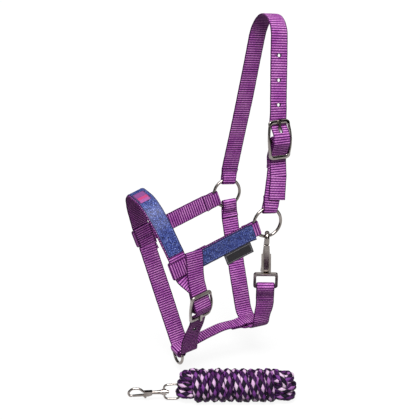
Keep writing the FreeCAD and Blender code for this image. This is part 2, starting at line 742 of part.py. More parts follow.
twist(chin_strap, "loose_end", [
    station(leaves, -into_buckle, ACROSS),
    station(Vector(HALF_HEAD + 12.2, NOSE_LINE.y + 17.5, NOSE_LINE.z),
            Vector(0, -5, 30), Vector(0, 1, 0.18)),
    station(tip, Vector(0, -5, 34), Vector(0, 1, 0.12)),
])


# ---------------------------------------------------------------- throat snap
# The snap's own frame: origin on the gate's pin, Y up to the hook, X outwards.

WIRE_BOTTOM = NEAR_RING - Vector(0, 0, RING_MIDDLE)
hang = Vector(0.206, -0.082, 0.975).normalize()
snap_turn = math.radians(size("snap_turn"))
face = Vector(math.cos(snap_turn), -math.sin(snap_turn), 0)
face = (face - hang * hang.dot(face)).normalize()
SNAP = axes_placement(WIRE_BOTTOM - hang * size("snap_reach"), face, hang)
HOOK_BEND = 7.0                                    # middle of the hook's bar, round the wire
HOOK_TOP = size("snap_reach") - 2.2                # centre of the hook's bend
SNAP_BAR = size("snap_bar")


def bent_rod(body, name, place, corners, section):
    """A bar swept along a path; section is its profile loop in the plane it starts from."""
    route = body.newObject("Sketcher::SketchObject", f"{body.Name}_{name}_route")
    route.AttachmentSupport = [(origin_plane(body, "XY_Plane"), "")]
    route.MapMode = "FlatFace"
    route.AttachmentOffset = body.Placement.inverse() * place
    edges = [route.addGeometry(edge, False) for edge in path_edges(corners)]
    ties = []
    for one, two in zip(edges, edges[1:]):
        pairs = [(route.getPoint(one, p).distanceToPoint(route.getPoint(two, q)), p, q)
                 for p in (1, 2) for q in (1, 2)]
        gap, p, q = min(pairs)
        ties.append(Sketcher.Constraint("Coincident", one, p, two, q))
    route.addConstraint(ties)
    start = directions(corners)[0]
    frame = Rotation(left_of(start), Vector(0, 0, 1), left_of(start).cross(Vector(0, 0, 1)), "XYZ")
    profile_place = place * Placement(Vector(corners[0][0], corners[0][1], 0), frame)
    profile = new_sketch(body, name + "_section", profile_place, [section])
    rod = body.newObject("PartDesign::AdditivePipe", f"{body.Name}_{name}")
    rod.Profile = profile
    rod.Spine = route
    return rod


snap_body = new_body("throat_snap_body", SNAP)
hook_path = [(-HOOK_BEND, 6, 0), (-HOOK_BEND, HOOK_TOP + HOOK_BEND, HOOK_BEND),
             (HOOK_BEND, HOOK_TOP + HOOK_BEND, HOOK_BEND), (HOOK_BEND, HOOK_TOP - 5.5, 0)]
oval = [Part.Ellipse(Vector(0, 3.1, 0), Vector(2.1, 0, 0), Vector(0, 0, 0))]
bent_rod(snap_body, "hook", SNAP, hook_path, oval)
front = SNAP * Placement(Vector(-HOOK_BEND, 0, 0), Rotation(Vector(0, 1, 0), 90))
back_plate = polygon([(-3.1, HOOK_TOP - 6), (3.1, HOOK_TOP - 6), (7.2, -7), (-7.2, -7)])
pad(snap_body, "back", front, [back_plate], 3.6)
ear = [
    Part.LineSegment(Vector(-HOOK_BEND, -7, 0), Vector(4.2, -7, 0)),
    Part.Arc(Vector(4.2, -7, 0), Vector(6.4, -1, 0), Vector(4.2, 5, 0)),
    Part.LineSegment(Vector(4.2, 5, 0), Vector(-HOOK_BEND, 21, 0)),
    Part.LineSegment(Vector(-HOOK_BEND, 21, 0), Vector(-HOOK_BEND, -7, 0)),
]
pad(snap_body, "ears", SNAP, [ear], 13.2)
gate_room = polygon([(-HOOK_BEND + 1.9, -3.9), (12, -3.9), (12, 24), (-HOOK_BEND + 1.9, 24)])
pocket(snap_body, "gate_room", SNAP, [gate_room], size("gate_width") + 0.8)
pocket(snap_body, "pin_hole", SNAP, [circle(0, 0, size("pin_diameter") / 2)], 20.0)
EYE_TOP = -6.5
eye_half = size("snap_eye_width") / 2
outer_half = eye_half + SNAP_BAR
eye_low = -size("snap_eye_drop") - SNAP_BAR / 2
eye_frame = [
    path_edges([(0, EYE_TOP + 0.5, 0), (outer_half, EYE_TOP + 0.5, 4),
                (outer_half, eye_low, 4), (-outer_half, eye_low, 4),
                (-outer_half, EYE_TOP + 0.5, 4), (0, EYE_TOP + 0.5, 0)]),
    path_edges([(0, EYE_TOP - SNAP_BAR, 0), (eye_half, EYE_TOP - SNAP_BAR, 1.5),
                (eye_half, eye_low + SNAP_BAR, 1.5), (-eye_half, eye_low + SNAP_BAR, 1.5),
                (-eye_half, EYE_TOP - SNAP_BAR, 1.5), (0, EYE_TOP - SNAP_BAR, 0)]),
]
eye_face = SNAP * Placement(Vector(0, 0, 0), Rotation(Vector(0, 1, 0), 90))
pad(snap_body, "eye", eye_face, eye_frame, SNAP_BAR)

gate = new_body("throat_snap_gate", SNAP)
GATE_TIP = HOOK_TOP - 3.0
gate_profile = [
    Part.Arc(Vector(2.8, 1.2, 0), Vector(0, -3.0, 0), Vector(-2.8, 1.2, 0)),
    Part.LineSegment(Vector(-2.8, 1.2, 0), Vector(1.7, GATE_TIP, 0)),
    Part.LineSegment(Vector(1.7, GATE_TIP, 0), Vector(4.4, GATE_TIP, 0)),
    Part.LineSegment(Vector(4.4, GATE_TIP, 0), Vector(4.4, HOOK_TOP - 7.0, 0)),
    Part.LineSegment(Vector(4.4, HOOK_TOP - 7.0, 0), Vector(6.6, HOOK_TOP - 9.0, 0)),
    Part.LineSegment(Vector(6.6, HOOK_TOP - 9.0, 0), Vector(2.8, 1.2, 0)),
]
pad(gate, "tongue", SNAP, [gate_profile], "gate_width")
pocket(gate, "bore", SNAP, [circle(0, 0, size("pin_diameter") / 2 + size("pin_clearance"))], 20.0)


def fixed_pin(label, place, diameter, length):
    pin = doc.addObject("Part::Cylinder", label)
    pin.Label = label
    pin.setExpression("Radius", f"Sizes.{diameter} / 2")
    pin.Height = length
    pin.Placement = place * Placement(Vector(0, 0, -length / 2), Rotation())
    NODES.append(pin)
    return pin


fixed_pin("throat_snap_pin", SNAP, "pin_diameter", 13.2)
snap_spring = new_body("throat_snap_spring", SNAP)
spring_path = [(-HOOK_BEND + 2.25, 6, 0), (-HOOK_BEND + 2.25, 15, 5), (-1.8, 19.5, 2),
               (-1.6, 21.0, 0)]
strip(snap_spring, "leaf", SNAP, spring_path, 4.0, "patch_thickness")


# ---------------------------------------------------------------- throat strap

eye_bar = SNAP.multVec(Vector(0, -size("snap_eye_drop"), 0))
bar_way = SNAP.Rotation.multVec(Vector(0, 0, 1))
throat_low = -size("throat_drop")
near_bend = 25.5                                   # half the strap's flat run under the jaw
climb_way = eye_bar - in_plane(THROAT, near_bend, throat_low)
climb_way = (climb_way - bar_way * climb_way.dot(bar_way)).normalize()
EYE = axes_placement(eye_bar, climb_way.cross(bar_way), climb_way)
EYE_SPOT = Spot(0, 0, (0, -1), (1, 0))
OFF_THROAT = Spot(-HALF_HEAD, 0, (0, -1), (-1, 0))
throat_strap = new_body("throat_strap", THROAT)
eye_fold = SNAP_BAR / 2 * 1.7 + size("wire_clearance") + HALF_WEB
eye_tail = 34.0
eye_loop = loop_corners(EYE_SPOT, eye_tail, -eye_fold, eye_fold, 4.0, 15.0, 0.2)
long_ply = EYE_SPOT.corner(PLY, eye_tail + 2.0)
strip(throat_strap, "eye_loop", EYE, [long_ply] + eye_loop[::-1])
leg_top = EYE.multVec(Vector(long_ply[0], long_ply[1] + LAP, 0))
in_throat = THROAT.inverse().multVec(leg_top)
leg_share = 0.4
leg_foot = (near_bend + leg_share * (in_throat.x - near_bend),
            throat_low + leg_share * (in_throat.y - throat_low), 0)
throat_path = ring_loop(OFF_THROAT, 44.0, size("throat_setback"), 0.27) + [
    (-46.5, -106, 80),
    (-near_bend, throat_low, 17),
    (near_bend, throat_low, 17),
    leg_foot,
]
strip(throat_strap, "web", THROAT, throat_path)
leg_way = THROAT.Rotation.multVec(Vector(leg_foot[0] - near_bend, leg_foot[1] - throat_low, 0))
leg_way.normalize()
leg_low = in_plane(THROAT, *leg_foot[:2]) - leg_way * LAP
straight_way = leg_top - leg_low
flat_way = THROAT.Rotation.multVec(Vector(0, 0, -1))
if flat_way.dot(bar_way) < 0:
    flat_way = flat_way * -1
twist(throat_strap, "near_twist", [
    station(leg_low, leg_way, flat_way),
    station((leg_low + leg_top) / 2, straight_way, flat_way + bar_way),
    station(leg_top, climb_way, bar_way),
])
gather(throat_strap, "gathered", THROAT, OFF_THROAT)


# ---------------------------------------------------------------- back strap and chin dee
# This strap lies along the middle of the head, so its path is drawn in the YZ plane.

MIDLINE = axes_placement(Vector(0, 0, 0), Vector(0, 1, 0), Vector(0, 0, 1))
DEE_WIRE = size("dee_wire")
LOOSE_WRAP = WRAP + 0.55
chin_tilt = math.radians(size("chin_lean"))
CHIN_SPOT = Spot(CHIN_BOTTOM.y, CHIN_BOTTOM.z, (math.cos(chin_tilt), math.sin(chin_tilt)),
                 (-math.sin(chin_tilt), math.cos(chin_tilt)))
DEE_ALONG = -9.5                                   # the dee's bar, from the chin strap's middle
DEE_OUT = -HALF_WEB - 0.3 - DEE_WIRE / 2
UNDER_DEE = DEE_OUT - DEE_WIRE / 2 - size("wire_clearance") - HALF_WEB
FRONT_FOLD = -size("webbing_width") / 2 - 2.0
tz = THROAT_BOTTOM.z
ty = THROAT_BOTTOM.y
slack = [(ty - 48, tz - 2.0, 60), (-98, tz - 8.6, 60)]
over_chin = CHIN_SPOT.corner(WRAP + 0.05, 9, 30)
tail_join = (-103, tz - 13.1, 8)
back_path = [
    (ty - 36, tz + PLY, 0),
    (ty - 22, tz + PLY, 10),
    (ty - 16, tz + LOOSE_WRAP, 10),
    (ty + 15.0, tz + LOOSE_WRAP, LOOSE_WRAP),
    (ty + 15.0, tz - LOOSE_WRAP, LOOSE_WRAP),
    (ty - 16, tz - LOOSE_WRAP, 10),
    (ty - 22, tz - PLY, 10),
] + slack + [
    over_chin,
    CHIN_SPOT.corner(WRAP + 0.05, FRONT_FOLD, WRAP),
    CHIN_SPOT.corner(UNDER_DEE, FRONT_FOLD, 3.4),
    CHIN_SPOT.corner(UNDER_DEE, -5.2, 3),
    CHIN_SPOT.corner(-WRAP - 0.05, -1.5, 3),
    CHIN_SPOT.corner(-WRAP - 0.05, 14.5, 6),
    tail_join,
    (-99.5, tz - 11.75, 0),
]
back_strap = new_body("back_strap", MIDLINE)
strip(back_strap, "web", MIDLINE, back_path)

bar_y, bar_z, bar_turn = CHIN_SPOT.corner(DEE_OUT, DEE_ALONG)
DEE = axes_placement(Vector(0, bar_y, bar_z), Vector(1, 0, 0), Vector(0, 0, 1))
chin_dee = new_body("chin_dee", DEE)
side = (size("dee_width") - DEE_WIRE) / 2
deep = size("dee_depth") - DEE_WIRE
bow = side - 0.1
butt = 0.15                                        # the wire's two ends meet in the bar's middle
dee_path = [(butt, 0, 0), (side, 0, deep - bow - 0.1), (side, -deep, bow), (-side, -deep, bow),
            (-side, 0, deep - bow - 0.1), (-butt, 0, 0)]
bent_rod(chin_dee, "wire", DEE, dee_path, circle(0, 0, DEE_WIRE / 2))


# ---------------------------------------------------------------- lead rope
# The hank lies beside the collar, its snap towards the nose. Its frame: X along the hank.

HANK_DIRECTION = Vector(math.sin(math.radians(24)), math.cos(math.radians(24)), 0)
HANK = axes_placement(Vector(115, -102, -473), HANK_DIRECTION,
                      Vector(-HANK_DIRECTION.y, HANK_DIRECTION.x, 0))
HANK = HANK * Placement(Vector(0, 0, 0), Rotation(Vector(1, 0, 0), 90))

hank = new_body("lead_rope_hank", HANK)
ROPE = size("rope_diameter")
crest = size("hank_diameter") / 2
groove = crest - ROPE * 0.17
half_length = size("hank_length") / 2
turns = int(size("hank_turns"))
cap_length = ROPE * 1.55
pitch = (2 * half_length - 2 * cap_length) / turns
cap_radius = crest - ROPE * 0.35
left_cap = path_edges([(-half_length, 0, 0), (-half_length, cap_radius, 11),
                       (-half_length + cap_length, groove, 0)])
right_cap = path_edges([(half_length - cap_length, groove, 0), (half_length, cap_radius, 11),
                        (half_length, 0, 0)])
coils = []
for number in range(turns):
    x = -half_length + cap_length + number * pitch
    coils.append(Part.Arc(Vector(x, groove, 0), Vector(x + pitch / 2, crest, 0),
                          Vector(x + pitch, groove, 0)))
axis = [Part.LineSegment(Vector(half_length, 0, 0), Vector(-half_length, 0, 0))]


def revolve(body, name, place, loop):
    """A loop turned once round its own X axis."""
    profile = new_sketch(body, name + "_profile", place, [loop])
    feature = body.newObject("PartDesign::Revolution", f"{body.Name}_{name}")
    feature.Profile = profile
    feature.ReferenceAxis = (profile, ["H_Axis"])
    feature.Angle = 360
    return feature


revolve(hank, "wound_rope", HANK, left_cap + coils + right_cap + axis)

# lead snap: origin on the swivel, X towards the hook's tip, Y up
SWIVEL = HANK.multVec(Vector(-96, -10, 0))
LEAD = axes_placement(SWIVEL, -HANK_DIRECTION, Vector(0, 0, 1))
LEAD = LEAD * Placement(Vector(0, 0, 0), Rotation(Vector(0, 0, 1), -3))

lead_body = new_body("lead_snap_body", LEAD)
NECK = 1.7
shank = polygon([(-6.6, 0), (-6.6, 1.6), (-5.8, 2.5), (-4.4, 2.5), (-3.4, NECK), (3.4, NECK),
                 (3.4, 3.3), (4.9, 3.3), (5.6, 2.9), (18, 2.3), (18, 0)])
revolve(lead_body, "shank", LEAD, shank)
nose_block = [
    Part.LineSegment(Vector(16, 2.4, 0), Vector(27, 2.4, 0)),
    Part.LineSegment(Vector(27, 2.4, 0), Vector(27, -1.0, 0)),
    Part.Arc(Vector(27, -1.0, 0), Vector(24.6, -3.6, 0), Vector(21.5, -4.2, 0)),
    Part.LineSegment(Vector(21.5, -4.2, 0), Vector(16, -2.4, 0)),
    Part.LineSegment(Vector(16, -2.4, 0), Vector(16, 2.4, 0)),
]
pad(lead_body, "housing", LEAD, [nose_block], 6.4)
lead_hook = [(20, 0.8, 0), (26.5, 0.8, 6), (33, 6.8, 7), (43, 6.8, 6), (49, 1.2, 4),
             (46.4, -3.6, 2.2), (43.6, -3.4, 0)]
hook_wire = size("lead_hook_wire") / 2
bent_rod(lead_body, "hook", LEAD, lead_hook, circle(0, 0, hook_wire))
PIVOT = Vector(23.4, -1.6, 0)
pivot_place = LEAD * Placement(PIVOT, Rotation())
trigger_room = polygon([(18.6, -8), (30, -8), (30, 0.9), (20.2, 0.9), (18.6, -0.6)])
pocket(lead_body, "trigger_room", LEAD, [trigger_room], 3.4)
pocket(lead_body, "pin_hole", pivot_place, [circle(0, 0, 0.9)], 12.0)

trigger = new_body("lead_snap_trigger", LEAD)
trigger_outline = [
    Part.Arc(Vector(23.4, 0.2, 0), Vector(21.6, -1.6, 0), Vector(23.0, -3.4, 0)),
    Part.LineSegment(Vector(23.0, -3.4, 0), Vector(24.6, -7.0, 0)),
    Part.Arc(Vector(24.6, -7.0, 0), Vector(26.4, -7.4, 0), Vector(27.2, -5.8, 0)),
    Part.LineSegment(Vector(27.2, -5.8, 0), Vector(29.0, -4.4, 0)),
    Part.LineSegment(Vector(29.0, -4.4, 0), Vector(43.1, -4.5, 0)),
    Part.LineSegment(Vector(43.1, -4.5, 0), Vector(43.1, -2.3, 0)),
    Part.LineSegment(Vector(43.1, -2.3, 0), Vector(28.4, -1.6, 0)),
    Part.LineSegment(Vector(28.4, -1.6, 0), Vector(23.4, 0.2, 0)),
]
pad(trigger, "blade", LEAD, [trigger_outline], 2.8)
pocket(trigger, "bore", pivot_place, [circle(0, 0, 0.9 + size("pin_clearance"))], 12.0)

lead_pin = doc.addObject("Part::Cylinder", "lead_snap_pin")
lead_pin.Label = "lead_snap_pin"
lead_pin.Radius = 0.9
lead_pin.Height = 6.4
lead_pin.Placement = pivot_place * Placement(Vector(0, 0, -3.2), Rotation())
NODES.append(lead_pin)

lead_spring = new_body("lead_snap_spring", LEAD)
strip(lead_spring, "leaf", LEAD, [(19.0, -2.6, 0), (20.4, -1.4, 1.5), (20.9, 0.35, 0)],
      2.4, "patch_thickness")

swivel_eye = new_body("lead_snap_eye", LEAD)
bore = NECK + size("pin_clearance")
hub = [circle(0, 0, 4.2), circle(0, 0, bore)]
along_axis = LEAD * Placement(Vector(0, 0, 0), Rotation(Vector(0, 1, 0), 90))
pad(swivel_eye, "hub", along_axis, hub, 6.4)
stirrup = [(0, 3.2, 0), (0, 10.2, 5), (-18, 11.0, 6), (-26.5, 0, 6.5), (-18, -11.0, 6),
           (0, -10.2, 5), (0, -3.2, 0)]
bent_rod(swivel_eye, "stirrup", LEAD, stirrup, circle(0, 0, size("swivel_wire") / 2))


# ---------------------------------------------------------------- check and write

doc.recompute()
for item in doc.Objects:
    if {"Invalid", "Error"} & set(item.State):
        raise RuntimeError(f"{item.Label} failed: {item.State}")
for node in NODES:
    if node.Shape.isNull() or not node.Shape.isValid() or not node.Shape.Solids:
        raise RuntimeError(f"{node.Label} has no valid solid")

os.makedirs("parts", exist_ok=True)
for node in NODES:
    node.Shape.exportStep(f"parts/{node.Label}.step")
    box = node.Shape.BoundBox
    print(f"{node.Label:24s} solids {len(node.Shape.Solids)} volume {node.Shape.Volume:9.1f}"
          f"  x {box.XMin:7.1f} {box.XMax:7.1f}  y {box.YMin:7.1f} {box.YMax:7.1f}"
          f"  z {box.ZMin:7.1f} {box.ZMax:7.1f}")
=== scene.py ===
import math

import bmesh
import bpy
import numpy as np
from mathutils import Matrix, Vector


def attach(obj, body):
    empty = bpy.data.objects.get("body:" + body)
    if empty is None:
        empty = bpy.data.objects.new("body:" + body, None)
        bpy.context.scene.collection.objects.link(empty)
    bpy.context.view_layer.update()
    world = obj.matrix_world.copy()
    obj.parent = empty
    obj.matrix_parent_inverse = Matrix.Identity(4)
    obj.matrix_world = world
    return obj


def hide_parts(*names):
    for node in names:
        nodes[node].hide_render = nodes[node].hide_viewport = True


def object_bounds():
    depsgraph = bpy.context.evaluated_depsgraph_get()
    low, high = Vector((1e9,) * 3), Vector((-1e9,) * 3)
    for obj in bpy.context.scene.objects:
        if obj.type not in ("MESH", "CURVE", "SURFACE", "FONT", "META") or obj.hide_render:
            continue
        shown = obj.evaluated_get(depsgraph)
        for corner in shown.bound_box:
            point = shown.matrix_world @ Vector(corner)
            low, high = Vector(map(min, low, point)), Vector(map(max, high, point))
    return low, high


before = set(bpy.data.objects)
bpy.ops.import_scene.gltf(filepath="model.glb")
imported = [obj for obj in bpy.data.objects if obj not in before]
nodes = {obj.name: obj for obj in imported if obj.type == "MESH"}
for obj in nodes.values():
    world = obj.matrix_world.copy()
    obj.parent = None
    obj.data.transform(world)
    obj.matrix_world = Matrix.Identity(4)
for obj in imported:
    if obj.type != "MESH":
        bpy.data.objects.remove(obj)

cad_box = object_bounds()
scene = bpy.context.scene

# ---------------------------------------------------------------- camera
# A long lens two metres away, level, a little above the collar and in front of its
# near side.
camera = bpy.data.objects.new("camera", bpy.data.cameras.new("camera"))
scene.collection.objects.link(camera)
camera.location = (1.8027, -0.8909, 0.4557)
aim = Vector((0.0, -0.0883, -0.2625)) - camera.location
camera.rotation_euler = aim.to_track_quat("-Z", "Y").to_euler()
camera.data.lens = 131.85
scene.camera = camera


# ---------------------------------------------------------------- lead rope
# Lead rope: 2.05 m of 12 mm round braid, ten polypropylene yarns in black, plum, purple
# and pale pink. It is folded into six strands and wound ten times round them, with the snap's
# swivel eye in the first fold and the tail tucked in at the far end.
ROPE = 0.012
hank_middle = np.array([0.115, -0.102, -0.473])
hank_way = np.array([0.40674, 0.91355, 0.0])
hank_up = np.array([0.0, 0.0, 1.0])
hank_front = np.array([0.91355, -0.40674, 0.0])
WRAPS, PER_WRAP = 10, 16
strands = [
    (-50, -8, -5), (-62, -9, -9), (-72, -9.5, -8), (-76, -9.5, 0), (-71, -9.5, 8),
    (-60, -9, 9), (-42, -8, 5), (0, -7.5, 4.5), (42, -8, 5),
    (59, -11, 9), (72, -12.5, 8.5), (76, -12.5, 0), (72, -12, -8.5),
    (60, -10, -8.5), (42, -7, -5), (0, -7, -4.5), (-42, -2, -5),
    (-58, 1, -9), (-70, 2.5, -8), (-73.5, 3, 0), (-70, 3.5, 8),
    (-58, 2.5, 8.5), (-42, 0.5, 5), (0, 0, 5), (42, 0, 5.5),
    (59, -0.5, 10), (73, 0, 8.5), (77, 0, 0), (73, 0.5, -8.5),
    (60, 1, -9.5), (42, 1, -5), (0, 0, -5), (-42, 6, -4.5),
    (-56, 11, -8), (-67, 13.5, -7), (-70.5, 14, 0), (-67, 13.5, 7),
    (-56, 11, 8), (-42, 8, 4.5), (0, 7.5, 4.5), (42, 8, 5),
    (58, 10.5, 8.5), (70, 12, 8), (74, 12.5, 0), (70, 12, -8),
    (58, 11, -8.5), (42, 8, -5), (0, 7.5, -4.5), (-38, 8, -5.5), (-50, 11, -12), (-58, 15, -9), (-58, 17, -3),
]


def in_hank(points):
    """Millimetres along the hank, up and towards its front, turned into the frame."""
    along, up, front = 0.001 * np.asarray(points, float).T[:, :, None]
    return hank_middle + along * hank_way + up * hank_up + front * hank_front


# Each wrap is a turn of a helix whose radius and pitch wander a little.
turn = np.arange(WRAPS * PER_WRAP + 1) / PER_WRAP
radius = 17.0 + 0.35 * np.sin(turn * 2.3 + 0.6) + 0.25 * np.sin(turn * 5.1)
wraps = np.stack([
    -54.5 + 10.9 * turn + 0.5 * np.sin(turn * 3.7),
    radius * np.cos(2 * np.pi * turn),
    radius * np.sin(2 * np.pi * turn),
], axis=1)
tuck = [(60, 15, 9), (66, 8, 12), (64, 1, 6)]
route = in_hank(strands + wraps.tolist() + tuck)

rope_line = bpy.data.curves.new("lead_rope_line", "CURVE")
rope_line.dimensions = "3D"
rope_line.resolution_u = 5
spline = rope_line.splines.new("NURBS")
spline.points.add(len(route) - 1)
spline.points.foreach_set("co", np.column_stack([route, np.ones(len(route))]).ravel())
spline.order_u = 3
spline.use_endpoint_u = True
bare = bpy.data.objects.new("lead_rope_line", rope_line)
line_mesh = bpy.data.meshes.new_from_object(bare)
line = np.array([v.co for v in line_mesh.vertices])
bpy.data.objects.remove(bare)


def evenly(points, step, *others):
    """The same line with points a step apart, and any values that go along it."""
    run = np.append(0, np.cumsum(np.linalg.norm(np.diff(points, axis=0), axis=1)))
    count = max(2, round(run[-1] / step) + 1)
    at = np.linspace(0, run[-1], count)
    spread = [np.stack([np.interp(at, run, column) for column in values.T], axis=1)
              for values in (points, *others)]
    return at, *spread


def unit(vectors):
    return vectors / np.linalg.norm(vectors, axis=-1, keepdims=True)


def skin(name, rings, along, around, materials, closed=False):
    """A skin through rings of points, laid out on the UV map in metres.

    rings is n by m by 3, and around has m + 1 values, the last for the first point come
    round again. A closed skin joins its last ring to its first, so along has n + 1 values;
    else along has n, and each end is closed by one face.
    """
    n, m = rings.shape[:2]
    i, j = (grid.ravel() for grid in
            np.meshgrid(np.arange(n if closed else n - 1), np.arange(m), indexing="ij"))
    after, beyond = (i + 1) % n, (j + 1) % m
    quads = np.stack([i * m + j, i * m + beyond, after * m + beyond, after * m + j], axis=1)
    uv = np.stack([along[i], around[j], along[i], around[j + 1],
                   along[i + 1], around[j + 1], along[i + 1], around[j]], axis=1)
    points = rings.reshape(-1, 3)
    corner = points[quads]
    volume = np.sum(corner[:, 0] * np.cross(corner[:, 1], corner[:, 2])) \
        + np.sum(corner[:, 0] * np.cross(corner[:, 2], corner[:, 3]))
    ends, end_uv = [], []
    if not closed:
        ends = [np.arange(m)[::-1], np.arange(m) + (n - 1) * m]
        end_uv = [np.column_stack([np.full(m, along[0]), around[:m][::-1]]),
                  np.column_stack([np.full(m, along[-1]), around[:m]])]
    if volume < 0:
        quads, uv = quads[:, ::-1], uv.reshape(-1, 4, 2)[:, ::-1]
        ends, end_uv = [end[::-1] for end in ends], [side[::-1] for side in end_uv]
    mesh = bpy.data.meshes.new(name)
    mesh.from_pydata(points.tolist(), [], quads.tolist() + [end.tolist() for end in ends])
    layer = mesh.uv_layers.new(name="UVMap")
    layer.data.foreach_set("uv", np.concatenate([uv.ravel(), np.ravel(end_uv)]))
    mesh.polygons.foreach_set("use_smooth", np.arange(len(mesh.polygons)) < len(quads))
    for material in materials:
        mesh.materials.append(material)
    piece = bpy.data.objects.new(name, mesh)
    scene.collection.objects.link(piece)
    return piece


def linear(hex_colour):
    """An sRGB hex colour as the linear values that a shader takes."""
    part = np.array([int(hex_colour[k:k + 2], 16) / 255 for k in (1, 3, 5)])
    part = np.where(part <= 0.04045, part / 12.92, ((part + 0.055) / 1.055) ** 2.4)
    return (*part, 1.0)


def node(tree, kind, sockets=(), out=0, stops=(), **settings):
    """Adds a shader node with its settings, colour stops and links, and returns one output."""
    made = tree.nodes.new("ShaderNode" + kind)
    for name, value in settings.items():
        setattr(made, name, value)
    for number, (place, colour) in enumerate(stops):
        row = made.color_ramp.elements
        element = row[number] if number < 2 else row.new(place)
        element.position = place
        element.color = linear(colour)
    for key, value in dict(sockets).items():
        if isinstance(value, bpy.types.NodeSocket):
            tree.links.new(value, made.inputs[key])
        else:
            made.inputs[key].default_value = value
    return made.outputs[out]


def new_material(name, **constants):
    """A material's node tree, with these constants set on its shader."""
    material = bpy.data.materials.new(name)
    material.use_nodes = True
    shader = material.node_tree.nodes["Principled BSDF"]
    for socket, value in constants.items():
        shader.inputs[socket.replace("_", " ")].default_value = value
    return material, material.node_tree, shader.inputs


# Braided polypropylene: five yarns run each way round, so their crossings show as
# diamonds 7.5 by 11 mm. Those going one way are dark and the others pink or purple. Each is
# made of filaments along it, and has painted shade towards where it dives under.
ROUND, LAY = 5, 0.022
braid, tree, shader = new_material("braided_polypropylene", Roughness=0.6, Specular_IOR_Level=0.15)
split = node(tree, "SeparateXYZ", {0: node(tree, "UVMap", uv_map="UVMap")}).node
along_lay = node(tree, "Math", {0: split.outputs[0], 1: 2 / LAY}, operation="MULTIPLY")
around_lay = node(tree, "Math", {0: split.outputs[1], 1: float(ROUND)}, operation="MULTIPLY")
right_way = node(tree, "Math", {0: around_lay, 1: along_lay}, operation="ADD")
left_way = node(tree, "Math", {0: around_lay, 1: along_lay}, operation="SUBTRACT")
right_yarn = node(tree, "Math", {0: right_way}, operation="FLOOR")
left_yarn = node(tree, "Math", {0: left_way}, operation="FLOOR")
both = node(tree, "Math", {0: right_yarn, 1: left_yarn}, operation="ADD")
on_top = node(tree, "Math", {0: both, 1: 1.0}, operation="PINGPONG")
right_mod = node(tree, "Math", {0: right_yarn, 1: float(ROUND)}, operation="FLOORED_MODULO")
left_mod = node(tree, "Math", {0: left_yarn, 1: float(ROUND)}, operation="FLOORED_MODULO")
left_mod = node(tree, "Math", {0: left_mod, 1: float(ROUND)}, operation="ADD")
yarn = node(tree, "Mix", {0: on_top, 2: right_mod, 3: left_mod})
yarn = node(tree, "Math", {0: yarn, 1: 0.5}, operation="ADD")
yarn = node(tree, "Math", {0: yarn, 1: 2.0 * ROUND}, operation="DIVIDE")
yarn_colours = ["#140720", "#2c0e3b", "#10061a", "#1f0a2c", "#3d174c",
                "#f0d0ee", "#7d3f92", "#e6bbe6", "#52215f", "#a265ac"]
yarn_colour = node(tree, "ValToRGB", {0: yarn},
                   stops=[(k / 10, colour) for k, colour in enumerate(yarn_colours)])
yarn_colour.node.color_ramp.interpolation = "CONSTANT"
# Painted shade: a yarn darkens towards its edges, where it dives under the next yarn.
edge_a = node(tree, "Math", {0: right_way, 1: 0.5}, operation="PINGPONG")
edge_b = node(tree, "Math", {0: left_way, 1: 0.5}, operation="PINGPONG")
edge = node(tree, "Math", {0: edge_a, 1: edge_b}, operation="MINIMUM")
painted_shade_and_filaments = node(tree, "MapRange", {0: edge, 1: 0.0, 2: 0.16, 3: 0.12, 4: 1.0})
filament = node(tree, "Mix", {0: on_top, 2: right_way, 3: left_way})
filament = node(tree, "Math", {0: filament, 1: 1 / 12}, operation="PINGPONG")
filament = node(tree, "MapRange", {0: filament, 1: 0.0, 2: 1 / 12, 3: 0.72, 4: 1.12})
fuzz = node(tree, "TexNoise", {"Vector": node(tree, "TexCoord", out=3),
                               "Scale": 900.0, "Detail": 2.0})
fuzz = node(tree, "MapRange", {0: fuzz, 1: 0.3, 2: 0.7, 3: 0.8, 4: 1.12})
painted_shade_and_filaments = node(tree, "Math", {0: painted_shade_and_filaments, 1: filament}, operation="MULTIPLY")
painted_shade_and_filaments = node(tree, "Math", {0: painted_shade_and_filaments, 1: fuzz}, operation="MULTIPLY")
tree.links.new(node(tree, "Mix", {0: 1.0, 6: yarn_colour, 7: painted_shade_and_filaments}, out=2, data_type="RGBA",
                    blend_type="MULTIPLY"), shader["Base Color"])
tree.links.new(node(tree, "Bump", {"Strength": 0.5, "Distance": 0.0008, "Height": painted_shade_and_filaments}),
               shader["Normal"])

# Frames that turn as little as they can along the rope carry its section, which swells
# where a yarn lies on top.
at, line = evenly(line, 0.0011)
way = unit(np.gradient(line, axis=0))
side = np.empty_like(way)
side[0] = unit(np.cross(way[0], hank_up))
for k in range(1, len(way)):
    carried = side[k - 1] - way[k] * (side[k - 1] @ way[k])
    side[k] = carried / np.linalg.norm(carried)
top = np.cross(way, side)
GIRTH = 36                       # points round the rope
ring = np.arange(GIRTH) / GIRTH
cross_a = ring * ROUND + at[:, None] * (2 / LAY)
cross_b = ring * ROUND - at[:, None] * (2 / LAY)
yarn_edge = np.minimum(0.5 - np.abs(cross_a % 1 - 0.5), 0.5 - np.abs(cross_b % 1 - 0.5))
fat = ROPE / 2 - 0.0010 + 0.0015 * np.sqrt(np.clip(yarn_edge * 2.4, 0, 1))
fat[0], fat[-1] = fat[0] * 0.8, fat[-1] * 0.5
spin = 2 * np.pi * ring
rings = line[:, None] + fat[..., None] * (np.cos(spin)[None, :, None] * side[:, None]
                                          + np.sin(spin)[None, :, None] * top[:, None])
rope = skin("lead_rope", rings, at, np.arange(GIRTH + 1) / GIRTH, [braid])
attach(rope, "lead_rope")
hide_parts("lead_rope_hank")


